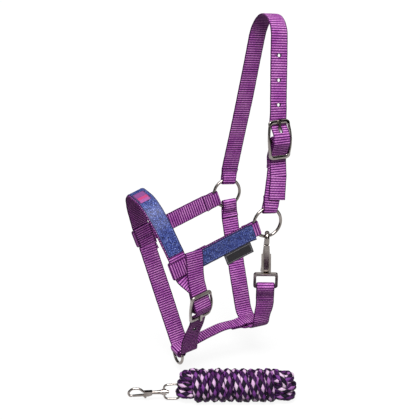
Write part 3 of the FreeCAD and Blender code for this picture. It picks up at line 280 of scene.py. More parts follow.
# ---------------------------------------------------------------- crown strap
# The crown strap is 25 mm polypropylene webbing, 2.2 mm thick and woven with cross ribs
# 3.3 mm apart. It is folded round the off-side ring and sewn back on itself, goes over
# the poll, and its free end, with its melted holes, is threaded through the buckle.
MM = 0.001
WIDE, THICK = 25.0, 2.2
RIB, RIB_DEEP = 3.3, 0.28
PLY = (THICK + 0.1) / 2          # a doubled strap's ply, from its middle
STEP = THICK + 0.1               # from one ply's middle to the next
WRAP = STEP                      # a ply wrapped round another strap
HALF_HEAD = 65.5                 # from the middle of the head to a cheek ring
CROWN_LONG = 268.5               # from the poll to a cheek ring
CHEEK_LONG = 134.6               # from a cheek ring to the noseband's middle
TIP_BACK, FALL = 7.1, 19.3       # degrees: the crown back, the cheeks down to the nose
RING_OUTER, RING_WIRE = 22.0, 4.2
AIR = 0.3                        # round a wire inside a fold
SLOT = RING_WIRE / 2 + AIR + THICK / 2


class Plane:
    """A strap's plane in the frame: x across the head, y up the strap, in millimetres."""

    def __init__(self, origin, x_way, y_way):
        self.origin, self.x_way, self.y_way = (np.array(v, float) for v in (origin, x_way, y_way))
        self.normal = np.cross(self.x_way, self.y_way)

    def out(self, flat):
        flat = np.asarray(flat, float)
        return self.origin + flat[..., :1] * self.x_way + flat[..., 1:2] * self.y_way

    def facing(self, way):
        return self.x_way * way[0] + self.y_way * way[1]


def leaning(origin, degrees):
    tip = math.radians(degrees)
    return Plane(origin, (1, 0, 0), (0, -math.sin(tip), math.cos(tip)))


class Spot:
    """Places measured outwards and along a strap from one piece of hardware."""

    def __init__(self, x, y, along, outward):
        self.middle = np.array([x, y], float)
        self.along = unit(np.array(along, float))
        outward = np.array(outward, float)
        self.outward = unit(outward - self.along * (self.along @ outward))

    def at(self, out, along, radius=0.0):
        return (*(self.middle + self.outward * out + self.along * along), radius)


def rounded(corners, step=0.5):
    """Straight runs joined by tangent arcs, from (x, y, radius) corners, as points."""
    corners = np.array(corners, float)
    points = [corners[:1, :2]]
    runs = unit(np.diff(corners[:, :2], axis=0))
    for (x, y, radius), before, after in zip(corners[1:-1], runs, runs[1:]):
        turn = math.atan2(before[0] * after[1] - before[1] * after[0], before @ after)
        start = np.array([x, y]) - before * radius * math.tan(abs(turn) / 2)
        spoke = np.array([before[1], -before[0]]) * math.copysign(radius, turn)
        swing = np.linspace(0, turn, max(2, int(radius * abs(turn) / step) + 2))[:, None]
        across = np.array([-spoke[1], spoke[0]])
        points.append(start - spoke + np.cos(swing) * spoke + np.sin(swing) * across)
    return np.concatenate(points + [corners[-1:, :2]])


def beside(corners, shift):
    """The same corners moved to the left of their path, the radii with them."""
    corners = np.array(corners, float)
    runs = unit(np.diff(corners[:, :2], axis=0))
    before, after = np.vstack([runs[:1], runs]), np.vstack([runs, runs[-1:]])
    left = np.stack([-(before + after)[:, 1], (before + after)[:, 0]], axis=1)
    moved = corners.copy()
    moved[:, :2] += left * shift / (1 + np.sum(before * after, axis=1, keepdims=True))
    turning = np.sign(before[:, 0] * after[:, 1] - before[:, 1] * after[:, 0])
    moved[:, 2] -= np.where(corners[:, 2] > 0, shift * turning, 0)
    return [tuple(row) for row in moved]


def loop(spot, tail, fold, slot, start, end, lean=0.0):
    """A strap's end folded round a wire, from its tail to where the long ply leaves."""
    return [spot.at(-PLY - lean * (tail - end), tail), spot.at(-PLY, end, 12),
            spot.at(-slot, start, 6), spot.at(-slot, fold, slot), spot.at(slot, fold, slot),
            spot.at(slot, start, 6), spot.at(PLY, end, 12)]


TAIL = 36.0                      # a sewn-back tail's end, from the middle of its ring


def ring_loop(spot, offset=0.0, lean=0.0):
    fold = math.sqrt((RING_OUTER - RING_WIRE) ** 2 - (9.5 + offset) ** 2) - 1.4
    return loop(spot, TAIL, fold, SLOT, RING_OUTER + 1, RING_OUTER + 8, lean)


turning = np.linspace(0, 1, 48)[:, None]


def bridge(here, way_out, there, way_in, share=0.4):
    """The cubic (2t^3 - 3t^2 + 1) a + (t^3 - 2t^2 + t) u + (3t^2 - 2t^3) b + (t^3 - t^2) v.

    It leaves a in the direction u and comes to b in the direction v, as t turns from 0 to 1.
    """
    t = turning
    pull = np.linalg.norm(there - here) * 3 * share
    return ((2 * t ** 3 - 3 * t ** 2 + 1) * here + (t ** 3 - 2 * t ** 2 + t) * way_out * pull
            + (3 * t ** 2 - 2 * t ** 3) * there + (t ** 3 - t ** 2) * way_in * pull)


class Line:
    """A strap's middle line: places along it, with the frame of the strap at each."""

    def __init__(self, at, points, way, across, out, half, thick):
        self.at, self.points, self.way, self.across, self.out = at, points, way, across, out
        self.half, self.thick = half, thick

    def near(self, place):
        """Millimetres along the strap to the point nearest a place."""
        return self.at[np.argmin(np.linalg.norm(self.points - place, axis=1))]

    def on(self, along):
        """Points, ways, widthways and outward directions at places along the strap."""
        return [np.stack([np.interp(along, self.at, column) for column in values.T], axis=-1)
                for values in (self.points, self.way, self.across, self.out)]


def strap(name, sections, material, wide=WIDE, thick=THICK, narrow=(), rib=RIB_DEEP, step=0.55):
    """Webbing carried along its middle line: a flat oblong, ribbed across both faces.

    The section is |v| ** 10 + t ** 2 = 1, v across and t through the strap, and each face
    sinks between ribs by rib * (1 - sqrt(|sin|)). sections is a list of (points, across) in
    millimetres; narrow lists (place, width, near, full) where the strap is drawn together:
    its width near that place, and how far off it is full.
    """
    points = np.concatenate([part for part, across in sections])
    across = np.concatenate([np.broadcast_to(across, part.shape) for part, across in sections])
    keep = np.append(True, np.linalg.norm(np.diff(points, axis=0), axis=1) > 1e-4)
    at, points, across = evenly(points[keep], step, across[keep])
    way = unit(np.gradient(points, axis=0))
    across = unit(across - way * np.sum(way * across, axis=1, keepdims=True))
    out = np.cross(way, across)
    half = np.full(len(at), wide / 2)
    for place, width, near, full in narrow:
        gap = np.linalg.norm(points - place, axis=1)
        half = np.minimum(half, np.interp(gap, [near, full], [width / 2, wide / 2]))
    half = half + 0.12 * np.sin(at / 17.0 + len(name)) + 0.06 * np.sin(at / 2.3)
    spin = np.arange(24) * 2 * np.pi / 24
    v = np.sign(np.cos(spin)) * np.abs(np.cos(spin)) ** 0.2
    high = thick / 2 - rib * (1 - np.sqrt(np.abs(np.sin(np.pi * at / RIB))))
    high[[0, -1]] = 0.55 * high[[0, -1]]
    rings = points[:, None] + half[:, None, None] * v[None, :, None] * across[:, None] \
        + high[:, None, None] * np.sin(spin)[None, :, None] * out[:, None]
    piece = skin(name, rings * MM, at * MM, np.append(v, v[0]) * wide / 2 * MM, [material])
    return piece, Line(at, points, way, across, out, half, thick)


CROWN = leaning((0, 0, 0), -TIP_BACK)
RING_LINE = CROWN.out((0, -CROWN_LONG))
CHEEK = leaning(RING_LINE, FALL - 90)
NOSE_LINE = CHEEK.out((0, -CHEEK_LONG))
NOSE = leaning(NOSE_LINE, FALL)
CHIN_LEAN = 12.0
CHIN = leaning(NOSE_LINE, CHIN_LEAN)
THROAT = leaning(RING_LINE + (0, 3.0, 0), 2.2)
NEAR_RING = RING_LINE + (HALF_HEAD, 0, 0)
OFF_RING = RING_LINE - (HALF_HEAD, 0, 0)

# Buckle measures: half its length to an end bar, how deep the strap passes under an end
# bar, the chape's fold round the middle bar, and the height over it.
REACH, SINK, CHAPE_FOLD = 25.0, 6.05, 3.55
RISE = CHAPE_FOLD + STEP
BUCKLE = Spot(HALF_HEAD - 1.5, -154.0, (-0.073, 1.0), (1.0, 0.0))
NEAR_SPOT = Spot(HALF_HEAD, -CROWN_LONG, (0, 1), (1, 0))
OFF_SPOT = Spot(-HALF_HEAD, -CROWN_LONG, (0, 1), (-1, 0))


def through_buckle(spot):
    """Under one end bar, over the middle and the chape, and under the other end bar."""
    return [spot.at(-SINK - 0.3, 21, 12), spot.at(RISE, 7, 8), spot.at(RISE, -4.5, 8),
            spot.at(-SINK - 1.5, -26.5, 10)]


# Woven polypropylene: satin ribs across the strap, with painted shade in the valley between
# them and a painted highlight along each crest, each rib made of short warp floats, and the
# colour darker along the edges. Dyed purple, a little uneven. The floats are drawn 2.2 mm
# wide, twice the real yarn, so that they show.
FLOAT = 0.0022
webbing, tree, shader = new_material("woven_polypropylene", Roughness=0.55,
                                     Specular_IOR_Level=0.1)
split = node(tree, "SeparateXYZ", {0: node(tree, "UVMap", uv_map="UVMap")}).node
place = node(tree, "TexCoord", out=3)
# Painted light across each rib: 0 in the valley, where it is painted shade, to 1 on the crest, where it is a
# painted highlight.
painted_rib_light = node(tree, "Math", {0: split.outputs[0], 1: RIB * MM / 2}, operation="PINGPONG")
painted_rib_light = node(tree, "MapRange", {0: painted_rib_light, 1: 0.00005, 2: RIB * MM * 0.38, 3: 0.0, 4: 1.0},
             interpolation_type="SMOOTHSTEP")
row = node(tree, "Math", {0: split.outputs[0], 1: RIB * MM}, operation="DIVIDE")
row = node(tree, "Math", {0: row}, operation="FLOOR")
row = node(tree, "Math", {0: row, 1: 2.0}, operation="FLOORED_MODULO")
shift = node(tree, "Math", {0: row, 1: FLOAT / 2}, operation="MULTIPLY")
float_way = node(tree, "Math", {0: split.outputs[1], 1: shift}, operation="ADD")
floats = node(tree, "Math", {0: float_way, 1: FLOAT / 2}, operation="PINGPONG")
floats = node(tree, "MapRange", {0: floats, 1: 0.0, 2: FLOAT / 3, 3: 0.62, 4: 1.0})
yarns = node(tree, "TexNoise", {"Vector": place, "Scale": 800.0, "Detail": 2.0})
yarns = node(tree, "MapRange", {0: yarns, 1: 0.3, 2: 0.7, 3: 0.82, 4: 1.12})
dyed = node(tree, "TexNoise", {"Vector": place, "Scale": 55.0, "Detail": 3.0})
dyed = node(tree, "MapRange", {0: dyed, 1: 0.3, 2: 0.7, 3: 0.84, 4: 1.12})
painted_rib_shading = node(tree, "Math", {0: painted_rib_light, 1: floats}, operation="MULTIPLY")
tone = node(tree, "Math", {0: painted_rib_shading, 1: yarns}, operation="MULTIPLY")
tone = node(tree, "Math", {0: tone, 1: dyed}, operation="MULTIPLY")
# The ramp runs from painted valley shade to a painted highlight on the crests, with yarn and dye tones
# between.
colour = node(tree, "ValToRGB", {0: tone}, stops=[
    (0.0, "#300b3b"), (1.0, "#eaa6e3"), (0.25, "#6a2076"), (0.58, "#a149a6"), (0.85, "#cc76c9")])
# The colour darkens along the strap's edges.
rim = node(tree, "Math", {0: split.outputs[1]}, operation="ABSOLUTE")
edging = node(tree, "ValToRGB", {0: node(tree, "MapRange", {0: rim, 1: 0.0110, 2: 0.0126})},
              stops=[(0.0, "#ffffff"), (1.0, "#b68dbb"), (0.3, "#5d3a64"), (0.62, "#6a4470")])
tree.links.new(node(tree, "Mix", {0: 1.0, 6: colour, 7: edging}, out=2, data_type="RGBA",
                    blend_type="MULTIPLY"), shader["Base Color"])
tree.links.new(node(tree, "Bump", {"Strength": 0.4, "Distance": 0.0004, "Height": tone}),
               shader["Normal"])

BILLET_FOOT = 39                 # where the straight run ends, above the buckle
ring_narrow = (20.5, 22.0, 36.0)  # 20.5 mm wide within 22 of the ring's middle, full at 36
billet_end = NEAR_SPOT.at(PLY + STEP + 0.2, 32.5)
crown_way = ring_loop(OFF_SPOT, lean=0.19) + [
    (-46.0, -128.0, 150), (-29, -17, 50), (-7, 1.1, 24), (26, 1.1, 30),
    BUCKLE.at(-SINK, BILLET_FOOT, 110),
] + through_buckle(BUCKLE) + [billet_end]
# The strap slips back a little as it goes through the buckle, and hangs back below it.
_, crown_flat = evenly(rounded(crown_way), 0.5)
set_back = np.interp(crown_flat[:, 1], [-236, -205, -181, -154, -129, -105],
                     [7.7, 8.8, 6.8, 3.5, 1.0, 0]) * (crown_flat[:, 0] > 0)
crown, crown_line = strap(
    "crown_strap", [(CROWN.out(crown_flat) - set_back[:, None] * CROWN.normal, CROWN.normal)],
    webbing, narrow=[(OFF_RING, *ring_narrow)])

# The holes are melted through with a hot rod: a smooth wall and a raised lip, coloured near-black purple as
# painted shade so that the holes read dark.
melted, tree, shader = new_material("melted_polypropylene", Roughness=0.3)
bubbles = node(tree, "TexNoise", {"Vector": node(tree, "TexCoord", out=3), "Scale": 1400.0})
tree.links.new(node(tree, "ValToRGB", {0: bubbles}, stops=[(0.3, "#16051d"), (0.7, "#3a1244")]),
               shader["Base Color"])
tree.links.new(node(tree, "Bump", {"Strength": 0.4, "Distance": 0.0003, "Height": bubbles}),
               shader["Normal"])


def joined(name, pieces):
    """Several pieces as one, in one mesh."""
    whole = bmesh.new()
    for piece in pieces:
        whole.from_mesh(piece.data)
    mesh = pieces[0].data.copy()
    mesh.name = name
    whole.to_mesh(mesh)
    whole.free()
    for piece in pieces:
        bpy.data.objects.remove(piece)
    one = bpy.data.objects.new(name, mesh)
    scene.collection.objects.link(one)
    return one


def melt_holes(piece, line, holes, name):
    """Oblong holes at (along, length, width), cut through, each with a lip on both faces."""
    spin = np.linspace(0, 2 * np.pi, 29)[:-1]
    cutters, lips = [], []
    for along, length, width in holes:
        middle, way, across, out = line.on(along)
        side = np.sign(np.cos(spin)) * (length - width) / 2 + np.cos(spin) * width / 2
        rise = np.sin(spin) * width / 2
        edge = side[:, None] * way + rise[:, None] * across
        walls = middle + edge + np.array([-3.5, 3.5])[:, None, None] * out
        cutters.append(skin("cutter", walls * MM, np.zeros(2), np.zeros(29), [webbing, melted]))
        away = unit(np.cos(spin)[:, None] * way + np.sin(spin)[:, None] * across)
        around = np.linspace(0, 2 * np.pi, 9)[:-1]
        for face in (-1, 1):
            lip = middle + edge[:, None] + face * (line.thick / 2 - 0.1) * out \
                + 0.42 * (np.cos(around)[:, None] + 0.6) * away[:, None] \
                + 0.34 * np.sin(around)[:, None] * out
            lips.append(skin("lip", lip * MM, np.zeros(29), np.zeros(9), [melted], closed=True))
    cutter = joined("cutter", cutters)
    cutter.data.polygons.foreach_set("material_index", np.ones(len(cutter.data.polygons), int))
    cut = piece.modifiers.new("holes", "BOOLEAN")
    cut.object = cutter
    piece.data.materials.append(melted)
    bpy.context.view_layer.update()
    whole = piece.evaluated_get(bpy.context.evaluated_depsgraph_get())
    mesh = bpy.data.meshes.new_from_object(whole)
    piece.modifiers.clear()
    piece.data = mesh
    bpy.data.objects.remove(cutter)
    lip = joined(name, lips)
    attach(lip, "collar")


TONGUE_HOLE = 13.4               # the worn hole, from the buckle's middle bar
WORN, PUNCHED = (10.0, 4.6), (4.8, 4.8)
HOLE_PITCH = 32.5
run_top, run_foot = np.array([26.0, 1.1]), np.array(BUCKLE.at(-SINK, BILLET_FOOT)[:2])
run = unit(run_top - run_foot)
melt_holes(crown, crown_line, [
    (crown_line.near(CROWN.out(BUCKLE.at(0.6, TONGUE_HOLE)[:2]) - 2.4 * CROWN.normal), *WORN)
] + [
    (crown_line.near(CROWN.out(run_foot + run * (HOLE_PITCH * number + TONGUE_HOLE - BILLET_FOOT))),
     *PUNCHED) for number in (1, 2, 3)], "crown_hole_lips")
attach(crown, "collar")
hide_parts("crown_strap")

# Seams are sewn with bonded nylon thread, dyed to match and a little darker, in stitches
# 2.6 mm long that sink into the ribs.
thread, tree, shader = new_material("bonded_nylon_thread", Roughness=0.35)
ply = node(tree, "TexNoise", {"Vector": node(tree, "TexCoord", out=3), "Scale": 2200.0})
tree.links.new(node(tree, "ValToRGB", {0: ply}, stops=[(0.3, "#280b31"), (0.7, "#5a2163")]),
               shader["Base Color"])


def stitches(name, rows, material, long=2.6, thin=0.36, gap=0.8):
    """Stitches in straight rows, each a six-sided bar of thread with drawn-in ends.

    A row is (line, start, end, face): start and end are millimetres along and across the
    line's strap, and face is the direction that the sewn face looks in.
    """
    spots, ways, outs = [], [], []
    for line, start, end, face in rows:
        start, end = np.array(start, float), np.array(end, float)
        span = np.linalg.norm(end - start)
        count = max(1, int(span // (long + gap)))
        share = (np.arange(count)[:, None] + 0.5) / count
        along, across_by = (start + share * (end - start)).T
        points, way, across, out = line.on(along)
        out = out * np.sign(out @ face)[:, None]
        spots.append(points + across_by[:, None] * across + (line.thick / 2 - 0.02) * out)
        heading = (end - start) / span
        ways.append(unit(heading[0] * way + heading[1] * across))
        outs.append(out)
    spots, ways, outs = (np.concatenate(rows) for rows in (spots, ways, outs))
    lengths = np.array([-0.5, -0.4, 0, 0.4, 0.5]) * long
    girth = np.array([0.4, 0.95, 1.0, 0.95, 0.4]) * thin
    spin = np.arange(6) * np.pi / 3
    round_way = np.cos(spin)[:, None] * np.cross(ways, outs)[:, None] \
        + np.sin(spin)[:, None] * outs[:, None]
    points = spots[:, None, None] + lengths[:, None, None] * ways[:, None, None] \
        + girth[:, None, None] * round_way[:, None]
    first = 30 * np.arange(len(spots))
    band, step = (grid.ravel() for grid in np.meshgrid(np.arange(4), np.arange(6), indexing="ij"))
    quad = np.stack([6 * band + step, 6 * band + 6 + step, 6 * band + 6 + (step + 1) % 6,
                     6 * band + (step + 1) % 6], axis=1)
    quads = (first[:, None, None] + quad).reshape(-1, 4)
    caps = (first[:, None, None] + np.array([np.arange(6), np.arange(29, 23, -1)])).reshape(-1, 6)
    mesh = bpy.data.meshes.new(name)
    mesh.from_pydata((points.reshape(-1, 3) * MM).tolist(), [], quads.tolist() + caps.tolist())
    mesh.polygons.foreach_set("use_smooth", np.ones(len(mesh.polygons), bool))
    mesh.materials.append(material)
    piece = bpy.data.objects.new(name, mesh)
    scene.collection.objects.link(piece)
    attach(piece, "collar")


def box_seam(line, plane, spot, out, start, end, inset=3.0):
    """The rows of a box seam on one face of a doubled strap, between two places on it."""
    here, there = (line.near(plane.out(spot.at(out, place)[:2])) for place in (start, end))
    face = plane.facing(spot.outward) * np.sign(out)
    edge = np.interp((here + there) / 2, line.at, line.half) - inset
    return [(line, (here, -edge), (there, -edge), face), (line, (here, edge), (there, edge), face),
            (line, (here, -edge), (here, edge), face), (line, (there, -edge), (there, edge), face)]


SEWN = (26.5, TAIL - 1.5)        # a ring loop's seam, from the middle of the ring
stitches("crown_stitches", box_seam(crown_line, CROWN, OFF_SPOT, -PLY, *SEWN)
         + box_seam(crown_line, CROWN, OFF_SPOT, PLY, *SEWN), thread)


# ---------------------------------------------------------------- crown chape
# A short strap from the near-side ring, folded round the buckle's middle bar and sewn
# back. The crown strap's free end lies on it.
def chape(spot, far_corner, tail):
    """The chape's tail, its fold round the middle bar and its long ply under the strap."""
    cross = spot.outward[0] * spot.along[1] - spot.outward[1] * spot.along[0]
    inward = -STEP if cross > 0 else STEP
    over = through_buckle(spot)[1:] + [far_corner]
    outer = beside(over, inward)[1:3]
    bend, onward = beside(over, 2 * inward + math.copysign(0.6, inward))[2:]
    run = unit(np.array(onward[:2]) - bend[:2]) * tail
    return [(bend[0] + run[0], bend[1] + run[1], 0), bend, spot.at(-CHAPE_FOLD, -3, 8),
            spot.at(-CHAPE_FOLD, CHAPE_FOLD, CHAPE_FOLD),
            spot.at(CHAPE_FOLD, CHAPE_FOLD, CHAPE_FOLD)] + outer


chape_way = chape(BUCKLE, billet_end, 16.0) + ring_loop(NEAR_SPOT, lean=0.2)[::-1]
_, chape_flat = evenly(rounded(chape_way), 0.5)
set_back = np.interp(chape_flat[:, 1], [-262, -250, -205, -190, -154], [0, 0.8, 5.0, 6.0, 3.5])
crown_chape, chape_line = strap(
    "crown_chape", [(CROWN.out(chape_flat) - set_back[:, None] * CROWN.normal, CROWN.normal)],
    webbing, narrow=[(NEAR_RING, *ring_narrow)])
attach(crown_chape, "collar")
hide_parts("crown_chape")
stitches("chape_stitches", box_seam(chape_line, CROWN, NEAR_SPOT, -PLY, *SEWN)
         + box_seam(chape_line, CROWN, NEAR_SPOT, PLY, *SEWN), thread)


# ---------------------------------------------------------------- buckles
# Two centre-bar buckles cast in zinc alloy and nickel plated, their frames arched and
# barrel-shaped, with broad end bars. The plate keeps faint marks of the polishing wheel.
nickel, tree, shader = new_material("nickel_plate", Metallic=1.0)
grain = node(tree, "TexNoise", {"Vector": node(tree, "TexCoord", out=3), "Scale": 1500.0,
                                "Detail": 3.0})
cloud = node(tree, "TexNoise", {"Vector": node(tree, "TexCoord", out=3), "Scale": 90.0})
tree.links.new(node(tree, "ValToRGB", {0: cloud}, stops=[(0.3, "#7a726d"), (0.7, "#9c9591")]),
               shader["Base Color"])
tree.links.new(node(tree, "MapRange", {0: cloud, 1: 0.3, 2: 0.7, 3: 0.12, 4: 0.2}),
               shader["Roughness"])
tree.links.new(node(tree, "Bump", {"Strength": 0.12, "Distance": 0.0001, "Height": grain}),
               shader["Normal"])


def buckle_frame(name, origin, out, along, half_end, half_middle):
    """A frame swept round its outline, its ends dropped by 2.5 (y / 25) ** 2, and a bar.

    Its section is |a| ** 3 + |b| ** 3 = 1, a in the frame's plane and b through it: broad
    and shallow on the end bars, thin and deep on the rails.
    """
    across = np.cross(out, along)
    corner, rail = half_end - 1.3, half_middle - 1.3
    outline = rounded([(0, 24.1, 0), (-corner, 24.1, 5), (-rail, 0, 90), (-corner, -24.1, 5),
                       (corner, -24.1, 5), (rail, 0, 90), (corner, 24.1, 5), (0, 24.1, 0)])
    at, outline = evenly(outline, 0.7)
    flat = outline[:-1]
    way = unit(np.roll(flat, -1, axis=0) - np.roll(flat, 1, axis=0))
    end = np.clip((np.abs(flat[:, 1]) - 19) / 4, 0, 1)[:, None]
    end = end * end * (3 - 2 * end)
    spin = np.arange(20) * 2 * np.pi / 20
    a = np.sign(np.cos(spin)) * np.abs(np.cos(spin)) ** (2 / 3) * (1.3 + 1.6 * end)
    b = np.sign(np.sin(spin)) * np.abs(np.sin(spin)) ** (2 / 3) * (2.5 - 0.6 * end)
    middle = origin + flat[:, :1] * across + flat[:, 1:] * along \
        - 2.5 * (flat[:, 1:] / 25) ** 2 * out
    side = way[:, 1:] * across - way[:, :1] * along
    rings = middle[:, None] + a[..., None] * side[:, None] + b[..., None] * out
    loop_piece = skin(name, rings * MM, at * MM, spin[[*range(20), 0]] * MM, [nickel], closed=True)
    reach = np.linspace(-1, 1, 33)
    wide = 1.95 + 0.5 * np.abs(reach[:, None]) ** 12
    rings = origin + (reach * (half_middle - 1.5))[:, None, None] * across \
        + wide[..., None] * (np.cos(spin)[:, None] * along + np.sin(spin)[:, None] * out)
    bar = skin(name, rings * MM, reach * MM, spin[[*range(20), 0]] * MM, [nickel])
    frame_piece = joined(name, [loop_piece, bar])
    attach(frame_piece, "collar")
    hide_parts(name)


# The crown buckle hangs a little askew, drawn round by the strap.
askew = math.radians(7)
buckle_frame("crown_buckle_frame", CROWN.out(BUCKLE.middle) - 3.5 * CROWN.normal,
             CROWN.facing(BUCKLE.outward),
             CROWN.facing(BUCKLE.along) * math.cos(askew) + CROWN.normal * math.sin(askew),
             14.6, 18.4)
CHIN_MIDDLE = np.array([HALF_HEAD + 5.5, NOSE_LINE[1] + 27.2, NOSE_LINE[2] - 60.2])
CHIN_PLANE = Plane(CHIN_MIDDLE, (0.87823, 0.1996, -0.4346), (-0.46696, 0.16162, -0.86938))
buckle_frame("chin_buckle_frame", CHIN_MIDDLE, CHIN_PLANE.x_way, CHIN_PLANE.y_way, 15.4, 18.75)


# ---------------------------------------------------------------- cheek straps
# Each cheek strap is doubled: folded round its ring, then wrapped round the noseband and
# sewn back inside, so that it carries both.
NEAR_CHEEK = Spot(HALF_HEAD, 0, (0, -1), (1, 0))
OFF_CHEEK = Spot(-HALF_HEAD, 0, (0, -1), (-1, 0))
BAND_EDGE, BAND_FRONT = CHEEK_LONG - WIDE / 2, CHEEK_LONG + WIDE / 2


def cheek_way(spot):
    front = BAND_FRONT + WRAP - 0.4
    return ring_loop(spot) + [
        spot.at(PLY, BAND_EDGE - 9, 12), spot.at(WRAP, BAND_EDGE - 3, 12),
        spot.at(WRAP, front, WRAP), spot.at(-WRAP, front, WRAP),
        spot.at(-WRAP, BAND_EDGE - 3, 12), spot.at(-PLY, BAND_EDGE - 9, 12),
        spot.at(-PLY, BAND_EDGE - 30)]


for name, spot, ring_middle in (("near_cheek_strap", NEAR_CHEEK, NEAR_RING),
                                ("off_cheek_strap", OFF_CHEEK, OFF_RING)):
    cheek, cheek_line = strap(name, [(CHEEK.out(rounded(cheek_way(spot))), CHEEK.normal)],
                              webbing, narrow=[(ring_middle, *ring_narrow)])
    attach(cheek, "collar")
    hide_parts(name)
    seams = [seam for out in (-PLY, PLY) for places in (SEWN, (BAND_EDGE - 28, BAND_EDGE - 11))
             for seam in box_seam(cheek_line, CHEEK, spot, out, *places)]
    stitches(name[:-5] + "stitches", seams, thread)


# ---------------------------------------------------------------- noseband
# The noseband crosses the nose and passes through both cheek wraps. Its near end turns
# inwards to become the chin buckle's chape; its off end is sewn down inside, under a
# short piece of the same webbing that is laid across the joint.
chin_across = np.array([-0.10328, 0.96646, 0.23514])
CHIN_BUCKLE = Spot(0, 0, (0, 1), (1, 0))
AWAY = unit(np.array([-0.5, -0.85]))
last = through_buckle(CHIN_BUCKLE)[-1]
billet_away = (last[0] + 7 * AWAY[0], last[1] + 7 * AWAY[1], 0)
TOP = 87.5                       # the arch over the nose, above the cheeks
DROP, CHIN_HALF = 152.5, 16.5    # the chin strap's bottom, and how far across its corner is
arch = [(-HALF_HEAD, 17, 30), (-HALF_HEAD + 13, TOP - 34, 50), (-30, TOP, 40), (30, TOP, 40),
        (HALF_HEAD - 13, TOP - 34, 50), (HALF_HEAD, 17, 30)]
slope = (HALF_HEAD - CHIN_HALF) / DROP * 0.965
off_tail = [(-HALF_HEAD + slope * 26 - STEP - 0.7, -26, 0), (-HALF_HEAD, -13.5, 10)]
band = NOSE.out(rounded(off_tail + arch + [(HALF_HEAD, -13.0, 0)]))
chape_away = (last[0] + 1.5 * AWAY[0], last[1] + 1.5 * AWAY[1], 0)
chin_chape = chape(CHIN_BUCKLE, chape_away, 6.5)
chape_top = beside([last, chape_away], -STEP)[-1]
fold = CHIN_PLANE.out(rounded(chin_chape + [chape_top]))[::-1]
into = CHIN_PLANE.out(-AWAY) - CHIN_PLANE.origin
leg = bridge(band[-1], -NOSE.y_way, fold[0], into, 0.2)
noseband, _ = strap("noseband", [
    (band, -NOSE.normal), (leg, unit(-NOSE.normal * (1 - turning) + chin_across * turning)),
    (fold, chin_across)], webbing)
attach(noseband, "collar")
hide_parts("noseband_strap")

inside = NOSE.out(np.array([(-HALF_HEAD + WRAP + STEP + 0.1, y) for y in np.linspace(17, -16, 67)]))
joint, joint_line = strap("off_joint_webbing", [(inside, NOSE.normal)], webbing, 27.0)
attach(joint, "collar")
middle = joint_line.at[-1] / 2
stitches("off_joint_stitches", [
    (joint_line, (middle + shift, -11), (middle + shift, 11), NOSE.x_way)
    for shift in (-13, -1.4, 1.4, 13)] + [
    (joint_line, (middle - 13, edge), (middle + 13, edge), NOSE.x_way) for edge in (-10.5, 10.5)],
    thread)


# ---------------------------------------------------------------- chin strap
# From the off side under the chin and up to the buckle on the near side. Its free end is
# threaded through and stands up outside the noseband.
under = CHIN.out(rounded([(-HALF_HEAD + 14.5 * (HALF_HEAD - CHIN_HALF) / DROP, -14.5, 0),
                          (-CHIN_HALF, -DROP, 6.5), (19, -DROP, 8), (29, -DROP + 18.4, 0)]))
billet = CHIN_PLANE.out(rounded([(-SINK, REACH + 4, 0)] + through_buckle(CHIN_BUCKLE)
                                + [billet_away]))
climb = unit(CHIN.x_way * 10 + CHIN.y_way * 18.4)
rise = bridge(under[-1], climb, billet[0], -CHIN_PLANE.y_way)
tip = np.array([HALF_HEAD + 12.0, NOSE_LINE[1] + 14.0, NOSE_LINE[2] + 25.5])
upright = unit(np.array([0, -5.0, 33.0]))
loose = bridge(billet[-1], -into, tip, upright, 0.3)
plain_across = np.array([0, 0.98, 0.17])
chin_strap, chin_line = strap("chin_strap", [
    (under, -CHIN.normal), (rise, unit(-CHIN.normal * (1 - turning) + chin_across * turning)),
    (billet, chin_across),
    (loose, unit(chin_across * (1 - turning) + plain_across * turning))], webbing)
worn = chin_line.near(CHIN_PLANE.out(CHIN_BUCKLE.at(0.6, TONGUE_HOLE)[:2]))
melt_holes(chin_strap, chin_line, [(worn, *WORN), (worn - 41.0, *PUNCHED)], "chin_hole_lips")
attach(chin_strap, "collar")
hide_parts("chin_strap")


# ---------------------------------------------------------------- throat strap
# From the off-side ring under the jaw and up to the snap's eye, turning a quarter on the
# way, where it is folded through and sewn back.
SNAP = Plane((54.25, -28.71, -339.58), (0.89002, -0.39847, -0.22156), (0.20602, -0.08201, 0.9751))
LOW, BEND = -172.6, 25.5         # the jaw run below the rings, and half its length
eye_bar = SNAP.out((0, -28.4))
climb = eye_bar - THROAT.out((BEND, LOW))
climb = unit(climb - SNAP.normal * (climb @ SNAP.normal))
EYE = Plane(eye_bar, np.cross(climb, SNAP.normal), climb)
EYE_SPOT = Spot(0, 0, (0, -1), (1, 0))
OFF_THROAT = Spot(-HALF_HEAD, 0, (0, -1), (-1, 0))
eye_fold = 1.9 * 1.7 + AIR + THICK / 2
eye_way = [EYE_SPOT.at(PLY, 26)] + loop(EYE_SPOT, 25, -eye_fold, eye_fold, 4, 15, 0.2)[::-1][:-1] \
    + [EYE_SPOT.at(-PLY - 1.0, 25)]
eye_part = EYE.out(rounded(eye_way))
jaw = THROAT.out(rounded(ring_loop(OFF_THROAT, 3.0, 0.27) + [
    (-46.5, -106, 80), (-BEND, LOW, 17), (BEND + 3, LOW - 2, 19.5), (32.5, -158, 0)]))
leg = bridge(jaw[-1], unit(jaw[-1] - jaw[-2]), eye_part[0], climb)
level = THROAT.normal * math.copysign(1, THROAT.normal @ SNAP.normal)
throat, throat_line = strap("throat_strap", [
    (jaw, level), (leg, unit(level * (1 - turning) + SNAP.normal * turning)),
    (eye_part, SNAP.normal)], webbing, narrow=[(OFF_RING, *ring_narrow)])
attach(throat, "collar")
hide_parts("throat_strap")
stitches("throat_stitches", [
    row for out in (-PLY, PLY) for row in box_seam(throat_line, THROAT, OFF_THROAT, out, *SEWN)
] + [row for out in (-PLY, PLY) for row in box_seam(throat_line, EYE, EYE_SPOT, out, 15.5, 23.5)],
    thread)


